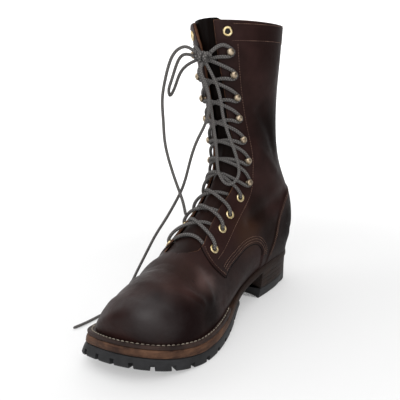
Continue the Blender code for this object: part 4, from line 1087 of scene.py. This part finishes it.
# Rows of an edge: out, share of height.
stack_edge = [(-0.5, 1.0), (0.0, 0.97)]
for joint in LIFT_JOINTS[::-1]:
    stack_edge += [(0.0, joint + GROOVE_HALF), (-GROOVE_DEPTH, joint), (0.0, joint - GROOVE_HALF)]
stack_edge += [(0.0, 0.03), (-0.5, 0.0)]
stack = heel_layer(outsole_up, lambda f: np.full(f.shape, LIFT_THICK + SEAM_GAP), STACK_TAPERS, stack_edge)
make_piece("boot_heel_stack", *stack, heel_leather, "heel_leather", ("heel_stack",), smooth=False)
lift_edge = [(-0.5, 1.0), (0.0, 0.95), (0.1, 0.5), (0.0, 0.1), (-0.8, 0.0)]
lift = heel_layer(lambda f: np.full(f.shape, LIFT_THICK), np.zeros_like, LIFT_TAPERS, lift_edge)
make_piece("boot_heel_lift", *lift, rubber, "sole_rubber", ("heel_lift",), smooth=False)

# %% [markdown]
# ## Welt
# The welt is a strip of dark leather lying on the midsole round the forefoot, sewn down by a row of thick
# stitches. It is a closed profile carried along the feather line: flat below, its top edge rounded off
# and its inner edge tucked against the upper.

# %% Welt strip
WELT_THICK, WELT_SET_IN, WELT_CLEAR = 4.0, 0.5, 0.3
WELT_MEDIAL_FROM, WELT_LATERAL_FROM = 168.0, 130.0
WELT_STATIONS = 420
WELT_PROFILE = [(0.0, 0.0), (0.0, 1.0), (0.3, 1.06), (0.85, 1.0), (0.97, 0.9), (1.0, 0.7),
                (1.0, 0.1), (0.98, 0.0)]
toe_at = int(np.argmax(PLAN[:, 0]))
welt_first = int(np.argmin(np.abs(PLAN[:toe_at, 0] - WELT_MEDIAL_FROM) + 1000.0 * (PLAN[:toe_at, 1] < 0)))
welt_last = toe_at + int(np.argmin(np.abs(PLAN[toe_at:, 0] - WELT_LATERAL_FROM)))


def welt_spots(at, share, rise):
    """Points of the welt along the feather line, a share of its width out and a rise over the seat."""
    marks = np.arange(OUTLINE_POINTS)
    base, out = (read_at(at, marks, table) for table in (PLAN, PLAN_OUT))
    reach = np.interp(at, marks, PLAN_MARGIN) - WELT_SET_IN
    edge = base + out * (WELT_CLEAR + share * (reach - WELT_CLEAR))[:, None]
    return np.stack([edge[:, 1], edge[:, 0], seat_up(edge[:, 0]) + rise], 1)


welt_at = np.linspace(welt_first, welt_last, WELT_STATIONS)
welt_rings = np.stack([welt_spots(welt_at, share, rise * WELT_THICK) for share, rise in WELT_PROFILE], axis=1)
welt_sides = len(WELT_PROFILE)
welt_faces = grid_faces(WELT_STATIONS, welt_sides, ring_columns=True).tolist()
for end in (0, (WELT_STATIONS - 1) * welt_sides):
    welt_faces.append(list(range(end, end + welt_sides)))
make_piece("boot_welt", welt_rings, welt_faces, welt_leather, "welt_leather", ("welt",), smooth=False)

# %% [markdown]
# ## Stitches
# A stitch is a short bead of thread that dips into its holes. Hundreds of them are one mesh: a small
# rounded bead of a few faces, repeated as an array along a line on the leather.

# %% Beads of thread along a line
BEAD_ALONG = np.array([-0.5, -0.3, 0.0, 0.3, 0.5])
BEAD_GIRTH = np.array([0.3, 0.9, 1.0, 0.9, 0.3])
BEAD_RISE = np.array([-0.6, 0.2, 0.45, 0.2, -0.6])
BEAD_SIDES, BEAD_REACH = 6, 0.5


def stitch_beads(line, normals, pitch, length, radius):
    """Beads at even distances: rings of six points along each, thin and sunk at both ends."""
    d = run_length(line)
    at = np.arange(pitch / 2.0, d[-1], pitch)
    spot, out = (read_at(at, d, table) for table in (line, normals))
    ahead = along(line, np.minimum(at + BEAD_REACH, d[-1])) - along(line, np.maximum(at - BEAD_REACH, 0.0))
    ahead /= np.linalg.norm(ahead, axis=1)[:, None]
    out = out - ahead * (out * ahead).sum(1)[:, None]
    out /= np.linalg.norm(out, axis=1)[:, None]
    aside = np.cross(ahead, out)
    turn_round = 2.0 * math.pi * np.arange(BEAD_SIDES) / BEAD_SIDES
    ring = np.cos(turn_round)[:, None, None] * out + np.sin(turn_round)[:, None, None] * aside
    middle = spot + BEAD_ALONG[:, None, None] * length * ahead + BEAD_RISE[:, None, None] * radius * out
    beads = middle[:, None] + BEAD_GIRTH[:, None, None, None] * radius * ring[None]
    beads = beads.transpose(2, 0, 1, 3)
    per = len(BEAD_ALONG) * BEAD_SIDES
    one = grid_faces(len(BEAD_ALONG), BEAD_SIDES, ring_columns=True).tolist()
    one += [list(range(BEAD_SIDES)), list(range(per - BEAD_SIDES, per))]
    faces = [[k * per + v for v in f] for k in range(len(at)) for f in one]
    return beads.reshape(-1, 3), faces


WELT_STITCH = {"pitch": 4.6, "length": 3.6, "radius": 0.55}
WELT_STITCH_SHARE, WELT_STITCH_RISE = 0.55, 1.06
welt_line = welt_spots(welt_at, WELT_STITCH_SHARE, WELT_STITCH_RISE * WELT_THICK)
welt_up = np.tile((0.0, 0.0, 1.0), (len(welt_line), 1))
make_piece("boot_welt_stitches", *stitch_beads(welt_line, welt_up, **WELT_STITCH), welt_thread, "lace_cord")

# %% [markdown]
# ## Seams of the upper
# The seams follow the panels' edges: three rows under the quarter's arch and one along its front, two
# along the counter, two round the collar band, and one along each facing behind the fittings. Lines given
# in side view are found on the skin by a few Newton steps.

# %% Seam lines on the leather
UPPER_STITCH = {"pitch": 2.6, "length": 1.9, "radius": 0.33}
STITCH_LIFT = 0.05
GRID_SKIP, NEWTON_STEPS, ROW_NUDGE, ARC_NUDGE = 4, 6, 0.02, 0.5
ROW_LIMIT, ARC_LIMIT, FLAT, FIRST_ROW = 0.2, 3.0, 1e-3, 0.1


def find_on_side(line, side):
    """Row and distance from the ridge of side-view points: nearest grid point, then Newton steps."""
    target = np.asarray(line, float)
    half = slice(0, LINE_POINTS // 2) if side > 0 else slice(LINE_POINTS // 2, LINE_POINTS)
    grid = LINES[::GRID_SKIP, half]
    away = ((grid[None, :, :, 1:] - target[:, None, None]) ** 2).sum(-1).reshape(len(target), -1)
    i, j = np.unravel_index(away.argmin(axis=1), grid.shape[:2])
    rows = ROWS[::GRID_SKIP][i]
    arcs = RIDGES[::GRID_SKIP][i] - (j + half.start) / (LINE_POINTS - 1) * LENGTHS[::GRID_SKIP][i]
    for _ in range(NEWTON_STEPS):
        here = base_skin(rows, arcs)[0][:, 1:]
        by_row = (base_skin(rows + ROW_NUDGE, arcs)[0][:, 1:] - here) / ROW_NUDGE
        by_arc = (base_skin(rows, arcs + ARC_NUDGE)[0][:, 1:] - here) / ARC_NUDGE
        gap = target - here
        scale = by_row[:, 0] * by_arc[:, 1] - by_row[:, 1] * by_arc[:, 0]
        scale = np.where(np.abs(scale) < FLAT, np.inf, scale)
        more_rows = (gap[:, 0] * by_arc[:, 1] - gap[:, 1] * by_arc[:, 0]) / scale
        more_arc = (by_row[:, 0] * gap[:, 1] - by_row[:, 1] * gap[:, 0]) / scale
        rows = np.clip(rows + np.clip(more_rows, -ROW_LIMIT, ROW_LIMIT), FIRST_ROW, LAST_ROW)
        arcs = arcs + np.clip(more_arc, -ARC_LIMIT, ARC_LIMIT)
    return rows, arcs


def leather_spots(rows, arcs, lift=0.0):
    """Points and normals on the dressed leather, lifted off it."""
    spot, out = base_skin(rows, arcs)
    return spot + out * (relief(spot) + lift)[..., None], out


def seam(rows, arcs):
    """One row of stitches along rows and distances from the ridge."""
    return stitch_beads(*leather_spots(rows, arcs, STITCH_LIFT), **UPPER_STITCH)


def inset_line(line, amount):
    """Side-view line moved square to itself."""
    t = np.gradient(np.asarray(line, float), axis=0)
    n = np.stack([-t[:, 1], t[:, 0]], axis=1) / np.linalg.norm(t, axis=1)[:, None]
    return np.asarray(line, float) + n * amount


STAY_POINTS = 220
# Rows of the facing's seam: row, distance from the ridge.
EYESTAY = np.array([(8.5, 40), (8.93, 42), (9.81, 41), (10.64, 41), (11.69, 44.7), (13.23, 46.3), (14.56, 46),
                    (16.1, 43), (17.97, 36), (19.41, 31.5), (20.4, 31), (21.0, 31)], float)
QUARTER_FRONT = smooth_path([(175.5, 97), (179.5, 87), (179, 78), (174, 69), (166, 60)], 2.0)
ARCH_INSETS, FRONT_INSET, COUNTER_INSETS = (2.6, 5.4, 8.2), 2.4, (2.0, 4.2)
COUNTER_BACK, COUNTER_LOW = -9.0, 52.0
# Rows of the collar's seams: height at the front, end at the back.
COLLAR_SEAMS = ((306.0, 3.0), (290.5, 7.0))
COLLAR_FRONT, COLLAR_FALL, COLLAR_POINTS = 104.0, 3.0, 60
side_lines = [smooth_path(inset_line(QUARTER_LOW, -inset)[2:-1], 1.5) for inset in ARCH_INSETS]
side_lines.append(inset_line(QUARTER_FRONT, -FRONT_INSET)[1:])
for inset in COUNTER_INSETS:
    edge = inset_line(COUNTER_EDGE, -inset)
    side_lines.append(smooth_path(edge[(edge[:, 0] > COUNTER_BACK) & (edge[:, 1] > COUNTER_LOW)], 2.0))
for up_at, end in COLLAR_SEAMS:
    side_lines.append(np.linspace((COLLAR_FRONT, up_at), (end, up_at - COLLAR_FALL), COLLAR_POINTS))
stay_rows = np.linspace(EYESTAY[0, 0], EYESTAY[-1, 0], STAY_POINTS)
stay_arcs = spline(EYESTAY[:, 0], EYESTAY[:, 1], stay_rows)
seams = []
for side in SIDES:
    seams += [seam(*find_on_side(line, side)) for line in side_lines]
    seams.append(seam(stay_rows, side * stay_arcs))
make_piece("boot_upper_stitches", *join(seams), upper_thread, "lace_cord", weld=False)

# %% [markdown]
# ## Eyelets and hooks
# Low on each facing are brass eyelets, and above them round-headed hooks that the lace is wound behind.
# Both are turned shapes: a profile revolved about the leather's normal, repeated at each place. A dark
# disc closes each eyelet, because the leather under it is not pierced.

# %% Turned fittings
# Rows: row, kind.
FASTENINGS = [(8.66, "eyelet"), (9.6, "eyelet"), (10.35, "eyelet"), (11.5, "eyelet"),
              (13.6, "hook"), (15.8, "hook"), (17.1, "hook"), (18.2, "hook"), (19.05, "hook"),
              (19.8, "hook"), (20.6, "hook"), (21.45, "eyelet")]
FASTENING_INSET, SEAT_REACH = 12.5, 3.0
TURN_STEPS = 24
# Rows of a profile: radius, height.
EYELET_PROFILE = [(2.5, -0.6), (2.45, 0.4), (2.75, 1.0), (3.4, 1.35), (4.2, 1.2), (4.8, 0.7),
                  (5.0, 0.0), (4.9, -0.6)]
HOLE_PROFILE = [(0.01, 0.25), (1.5, 0.25), (2.6, 0.25)]
HOOK_PROFILE = [(0.01, 7.0), (1.2, 6.95), (2.4, 6.55), (3.3, 5.8), (3.75, 4.8), (3.6, 3.9), (2.9, 3.3),
                (1.9, 3.0), (1.6, 2.4), (1.6, 1.3), (1.9, 0.9), (2.3, 0.6), (2.4, 0.2), (2.4, -0.6)]


def fastening_frame(number, side):
    """Seat of a fitting: its middle on the leather and three directions, the last one off the surface."""
    row = FASTENINGS[number][0]
    at = float(throat_gap(row, side)) + FASTENING_INSET
    (middle,), (off,) = leather_spots(np.array([row]), np.array([side * at]))
    outward = base_skin(row, side * (at + SEAT_REACH))[0] - base_skin(row, side * (at - SEAT_REACH))[0]
    outward = outward - off * (outward @ off)
    outward /= np.linalg.norm(outward)
    return middle, outward, np.cross(off, outward), off


def turned(profile, frames):
    """Surfaces of revolution: radius and height of the profile turned about each seat's normal."""
    r, h = np.array(profile, float).T
    a = 2.0 * math.pi * np.arange(TURN_STEPS) / TURN_STEPS
    parts = []
    for middle, first, second, off in frames:
        ring = np.cos(a)[:, None] * first + np.sin(a)[:, None] * second
        parts.append((middle + r[:, None, None] * ring + h[:, None, None] * off,
                      grid_faces(len(r), TURN_STEPS, ring_columns=True).tolist()))
    return join(parts)


def fittings(kind):
    """Seats and solid names of the eyelets or the hooks on both sides."""
    found = [(n, side) for n, (_, k) in enumerate(FASTENINGS) if k == kind for side in SIDES]
    names = [f"{kind}_{'medial' if side > 0 else 'lateral'}_{n + 1}" for n, side in found]
    return [fastening_frame(n, side) for n, side in found], names


eyelet_seats, eyelet_names = fittings("eyelet")
hook_seats, hook_names = fittings("hook")
make_piece("boot_eyelets", *turned(EYELET_PROFILE, eyelet_seats), pale_brass, "brass", eyelet_names)
make_piece("boot_eyelet_shadows", *turned(HOLE_PROFILE, eyelet_seats), hole_dark, "upper_leather")
make_piece("boot_hooks", *turned(HOOK_PROFILE, hook_seats), hook_brass, "brass", hook_names)

# %% [markdown]
# ## Lace
# The lace is one round braided cord. It comes up through each eyelet, crosses over the tongue and goes
# under the other facing; higher up it is wound behind the hooks. A tube is a circle carried along a
# smooth path, and its UV map holds the length along the cord and the turn about it, so that the braid
# follows the cord.

# %% Tubes along a path
LACE_RADIUS, FREE_RADIUS = 1.85, 1.6
LACE_SIDES, LACE_STEP = 12, 1.6
TIP_GIRTH = 0.6
ASKEW = (0.3, 0.2, 0.93)


def tube(path, radius, sides=LACE_SIDES):
    """Circle carried along a path on directions that turn as little as possible, with narrow closed ends."""
    ahead = np.gradient(path, axis=0)
    ahead /= np.linalg.norm(ahead, axis=1)[:, None]
    first = np.cross(ahead[0], ASKEW)
    turns = [first / np.linalg.norm(first)]
    for t in ahead[1:]:
        v = turns[-1] - t * (turns[-1] @ t)
        turns.append(v / np.linalg.norm(v))
    out = np.array(turns)[:, None]
    over = np.cross(ahead, out[:, 0])[:, None]
    share = np.arange(sides + 1) / sides
    a = 2.0 * math.pi * np.arange(sides + 1)[None, :, None] / sides
    girth = np.full((len(path), 1, 1), radius)
    girth[[0, -1]] *= TIP_GIRTH
    rings = path[:, None] + girth * (np.cos(a) * out + np.sin(a) * over)
    uv = np.stack(np.broadcast_arrays(run_length(path)[:, None] * MM, share[None]), -1)
    faces = grid_faces(len(path), sides + 1).tolist()
    faces += [list(range(sides))[::-1], [(len(path) - 1) * (sides + 1) + k for k in range(sides)]]
    return rings.reshape(-1, 3), faces, uv.reshape(-1, 2)


# %% [markdown]
# ## Crossings
# The two halves of the lace cross over the tongue from fitting to fitting, up to the knot. Five listed
# points take the lace past each fitting: up through an eyelet, or round behind a hook. One more lifts it
# over the middle, where the halves lie over and under each other by turns. A bar joins the lowest
# eyelets.

# %% Crossings through the eyelets and behind the hooks
LACED = FASTENINGS[:-1]
# Points past a fitting: climb along the facing, distance behind its edge, lift off the last.
PASSES = {
    "eyelet": [(-3.0, 1.0, -3.0), (0.0, 12.5, -2.4), (0.5, 12.0, 2.2), (3.5, 7.5, 4.6), (6.5, 0.5, 4.2)],
    "hook": [(-5.44, 6.5, 4.0), (-3.4, 13.0, 3.4), (0.0, 16.2, 3.2), (3.4, 13.0, 3.4), (5.44, 6.5, 4.0)]}
CROSS_LIFT, CROSS_SWAY = 2.5, 2.0
BAR_SHARES, BAR_DROP, BAR_LIFT = (-0.95, -0.6, 0.0, 0.6), 0.12, -0.2
KNOT_ROW, KNOT_LIFT = 20.35, 12.8
KNOT_SIZE = np.array([9.0, 6.5, 6.0])
PACE_ROWS, PACE_ARC = 0.1, 12.0


def lifted(row, arc, lift):
    """Point over the last's surface."""
    spot, out = base_skin(float(row), float(arc))
    return spot + out * lift


KNOT_MIDDLE = lifted(KNOT_ROW, 0.0, KNOT_LIFT)


def at_knot(point):
    """Spot just off the knot on the line from its middle to a point."""
    away = np.array(point, float) - KNOT_MIDDLE
    away /= np.linalg.norm(away)
    return KNOT_MIDDLE + away * (1.0 / np.linalg.norm(away / KNOT_SIZE) + SEAM_GAP)


def row_reach(row, distance):
    """Rows that a distance along the facing takes up at a row."""
    ahead, behind = (base_skin(row + step, PACE_ARC)[0] for step in (PACE_ROWS, -PACE_ROWS))
    return distance * 2.0 * PACE_ROWS / np.linalg.norm(ahead - behind)


def crossing_spots(first_side, with_bar):
    """Points of one half of the lace, from the lowest eyelets to the knot."""
    spots = []
    if with_bar:
        low = LACED[0][0]
        for share in BAR_SHARES:
            gap = float(throat_gap(low, first_side * share))
            spots.append(lifted(low - BAR_DROP, first_side * share * gap, BAR_LIFT))
    for k, (row, kind) in enumerate(LACED):
        side = first_side * (-1) ** k
        gap = float(throat_gap(row, side))
        for climb, behind, lift in PASSES[kind]:
            spots.append(lifted(row + row_reach(row, climb), side * (gap + behind), lift))
        if k + 1 < len(LACED):
            spots.append(lifted((row + LACED[k + 1][0]) / 2.0, 0.0, CROSS_LIFT + CROSS_SWAY * side))
    spots.append(at_knot(spots[-1] + (spots[-1] - KNOT_MIDDLE)))
    return spots


crossings = [smooth_path(crossing_spots(*half), LACE_STEP) for half in ((1, True), (-1, False))]
runs = [tube(path, LACE_RADIUS) for path in crossings]
make_piece("boot_lace_crossings", *join([run[:2] for run in runs]), lace_cord, "lace_cord",
           ("lace_crossings",), uv=np.vstack([run[2] for run in runs]))
print("crossings", [round(run_length(path)[-1]) for path in crossings], "mm")

# %% [markdown]
# ## Painted shadow under the lapped edge
# Where the quarter laps over the vamp, a dark line under its cut edge is painted shadow. It is a thin
# tube laid along the outside of that edge on both sides.

# %% Painted shadow line under the quarters
LAP_RADIUS, LAP_OUT, LAP_LIFT, LAP_STEP, LAP_SIDES = 0.6, 0.8, 0.1, 1.5, 6
lap_edge = smooth_path(np.vstack([QUARTER_FRONT[1:-1], QUARTER_LOW[:-1]]), LAP_STEP)
laps = []
for side in SIDES:
    spots = leather_spots(*find_on_side(inset_line(lap_edge, LAP_OUT), side), LAP_LIFT)[0]
    laps.append(tube(spots, LAP_RADIUS, LAP_SIDES)[:2])
# A near-black finish: painted shadow under the edge.
lap_shadow = oiled_leather("painted shadow under the lapped edge", "#050303", "#0c0706", plain=0.03)
make_piece("boot_lap_shadow", *join(laps), lap_shadow, "upper_leather")

# %% [markdown]
# ## Knot, loops and ends
# The bow hangs from its knot: a front loop, a side loop, a short end and a long end that runs down to the
# floor. They are free cords, so their routes repeat those of the solids, and the length of each is
# printed.

# %% Free runs of the lace
# Points: side, forward, up.
LOOPS = {
    "lace_loop_front": [
        (9, 128, 262), (13, 126, 252), (17, 124, 231), (18, 123, 217), (23, 122, 198), (31, 121, 172),
        (30, 124, 153), (24, 129, 149), (15, 130, 156), (9, 126, 178), (7, 125, 204), (6, 126, 224),
        (0, 127, 250), (-5, 127, 262)],
    "lace_loop_side": [
        (-20, 131, 279), (-30, 133, 267), (-37, 133, 254), (-42, 132, 243), (-43, 129, 240), (-41, 126, 244),
        (-35, 125, 255), (-28, 124, 265), (-18, 123, 271)]}
ENDS = {
    "lace_end_hanging": [
        (-13, 136, 286), (-22, 139, 283), (-32, 140, 271), (-39, 140, 256), (-44, 141, 238), (-44, 143, 216),
        (-43, 145, 195), (-40, 146, 179), (-35, 147, 163), (-29, 148, 147), (-23, 149, 131),
        (-20, 150, 117)],
    "lace_end_floor": [
        (4, 137, 262), (8, 136, 250), (9, 135, 226), (3, 135, 211), (-8, 135, 195), (-20, 136, 170),
        (-31, 137, 144), (-42, 139, 126), (-55, 142, 107), (-68, 147, 88), (-78, 152, 70), (-89, 157, 50),
        (-98, 162, 32), (-106, 168, 14), (-111, 178, 4), (-115, 192, 2), (-116, 205, 2), (-117, 222, 2),
        (-120, 237, 2)]}
KNOT_TURNS, KNOT_POINTS, KNOT_CORD = 2.5, 90, 2.0


def knot_path():
    """Cord wound about the knot's long axis: a helix on a small ellipsoid, tight at its ends."""
    t = np.linspace(0.0, 1.0, KNOT_POINTS)
    angle = 2.0 * math.pi * KNOT_TURNS * t
    x = np.linspace(-1.0, 1.0, KNOT_POINTS) * (KNOT_SIZE[0] - KNOT_CORD)
    swell = np.sqrt(np.clip(1.0 - (x / KNOT_SIZE[0]) ** 2, 0.0, 1.0))
    y = np.cos(angle) * (KNOT_SIZE[1] - KNOT_CORD) * swell
    z = np.sin(angle) * (KNOT_SIZE[2] - KNOT_CORD) * swell
    return KNOT_MIDDLE + np.stack([x, y, z], 1)


knot_points, knot_faces, knot_uv = tube(knot_path(), KNOT_CORD)
knot = make_piece("boot_lace_knot", knot_points, knot_faces, lace_cord, "lace_cord", ("lace_knot",),
                  uv=knot_uv)
for name, run in {**LOOPS, **ENDS}.items():
    route = [at_knot(run[0])] + run + ([at_knot(run[-1])] if name in LOOPS else [])
    path = smooth_path(route, LACE_STEP)
    points, faces, uv = tube(path, FREE_RADIUS)
    cord = make_piece("boot_" + name, points, faces, lace_cord, "lace_cord", (name,), uv=uv)
    print(name, round(run_length(path)[-1]), "mm")

# %% [markdown]
# ## Floor
# The boot stands on a plain white floor that curves up behind it, like a photographer's paper roll. The
# paper glows a little, more with distance from the boot, so that it stays white where the lamps no longer
# reach it and still takes the boot's soft shadow.

# %% Paper sweep
paper, paper_tree, paper_shader = new_finish("white paper sweep", Base_Color=colour("#adadad"), Roughness=0.9,
                                             Emission_Color=colour("#ffffff"))
paper_reach = add_node(paper_tree, "ShaderNodeVectorMath", {0: spot_of(paper_tree)}, operation="LENGTH")
GLOW_FROM, GLOW_TO, GLOW_NEAR, GLOW_FAR = 0.25, 1.1, 0.36, 0.95
paper_glow = span(paper_tree, paper_reach.outputs["Value"], GLOW_FROM, GLOW_TO, GLOW_NEAR, GLOW_FAR,
                  interpolation_type="SMOOTHSTEP")
drive(paper_tree, paper_shader, Emission_Strength=paper_glow)
SWEEP_HALF, SWEEP_NEAR, SWEEP_FLAT, SWEEP_BEND, SWEEP_TOP = 4000.0, -2500.0, 900.0, 700.0, 2600.0
bend = np.linspace(0.0, math.pi / 2.0, 24)
curve = np.column_stack([SWEEP_FLAT + SWEEP_BEND * np.sin(bend), SWEEP_BEND * (1.0 - np.cos(bend))])
sweep_line = np.vstack([[(SWEEP_NEAR, 0.0)], curve, [(SWEEP_FLAT + SWEEP_BEND, SWEEP_TOP)]])
away = -back[:2] / np.linalg.norm(back[:2])
wide = np.array([away[1], -away[0]])
across = np.linspace(-SWEEP_HALF, SWEEP_HALF, 3)
sweep = np.zeros((len(sweep_line), 3, 3))
sweep[..., :2] = sweep_line[:, None, :1] * away + across[None, :, None] * wide
sweep[..., 2] = sweep_line[:, 1, None]
floor_mesh = bpy.data.meshes.new("paper_sweep")
sweep_faces = grid_faces(len(sweep_line), 3).tolist()
floor_mesh.from_pydata((sweep.reshape(-1, 3) * MM).tolist(), [], sweep_faces, shade_flat=False)
floor_mesh.materials.append(paper)
floor = bpy.data.objects.new("paper_sweep", floor_mesh)
bpy.context.scene.collection.objects.link(floor)

# %% [markdown]
# ## Light
# A broad soft box hangs overhead and a second one stands in front on the inner side. Two weaker lamps fill in
# from the outer side and the front. The plain screen transform keeps the paper white and the dark leather
# dark, as a product picture does.

# %% Lamps and surroundings
# Rows: name, side, forward, up, size in metres, power.
LAMPS = [("key", 800.0, 900.0, 760.0, 1.5, 12.5), ("fill", -800.0, 400.0, 680.0, 0.7, 3.5),
         ("top", 0.0, 100.0, 1400.0, 2.4, 23.0), ("front", 250.0, 1150.0, 600.0, 1.0, 5.0)]
AIM = place((0.0, 130.0, 120.0))
AIR_LIGHT = 0.05
for name, side, forward, up, size, power in LAMPS:
    lamp = bpy.data.objects.new(name, bpy.data.lights.new(name, "AREA"))
    lamp.data.size = size
    lamp.data.energy = power
    spot = place((side, forward, up))
    facing = Vector(spot - AIM).to_track_quat("Z", "Y").to_matrix().to_4x4()
    lamp.matrix_world = Matrix.Translation(spot) @ facing
    bpy.context.scene.collection.objects.link(lamp)
world = bpy.data.worlds.new("studio")
world.use_nodes = True
air = world.node_tree.nodes["Background"]
air.inputs["Color"].default_value = colour("#ffffff")
air.inputs["Strength"].default_value = AIR_LIGHT
bpy.context.scene.world = world
bpy.context.scene.view_settings.view_transform = "Standard"
print("lamps", len(LAMPS))
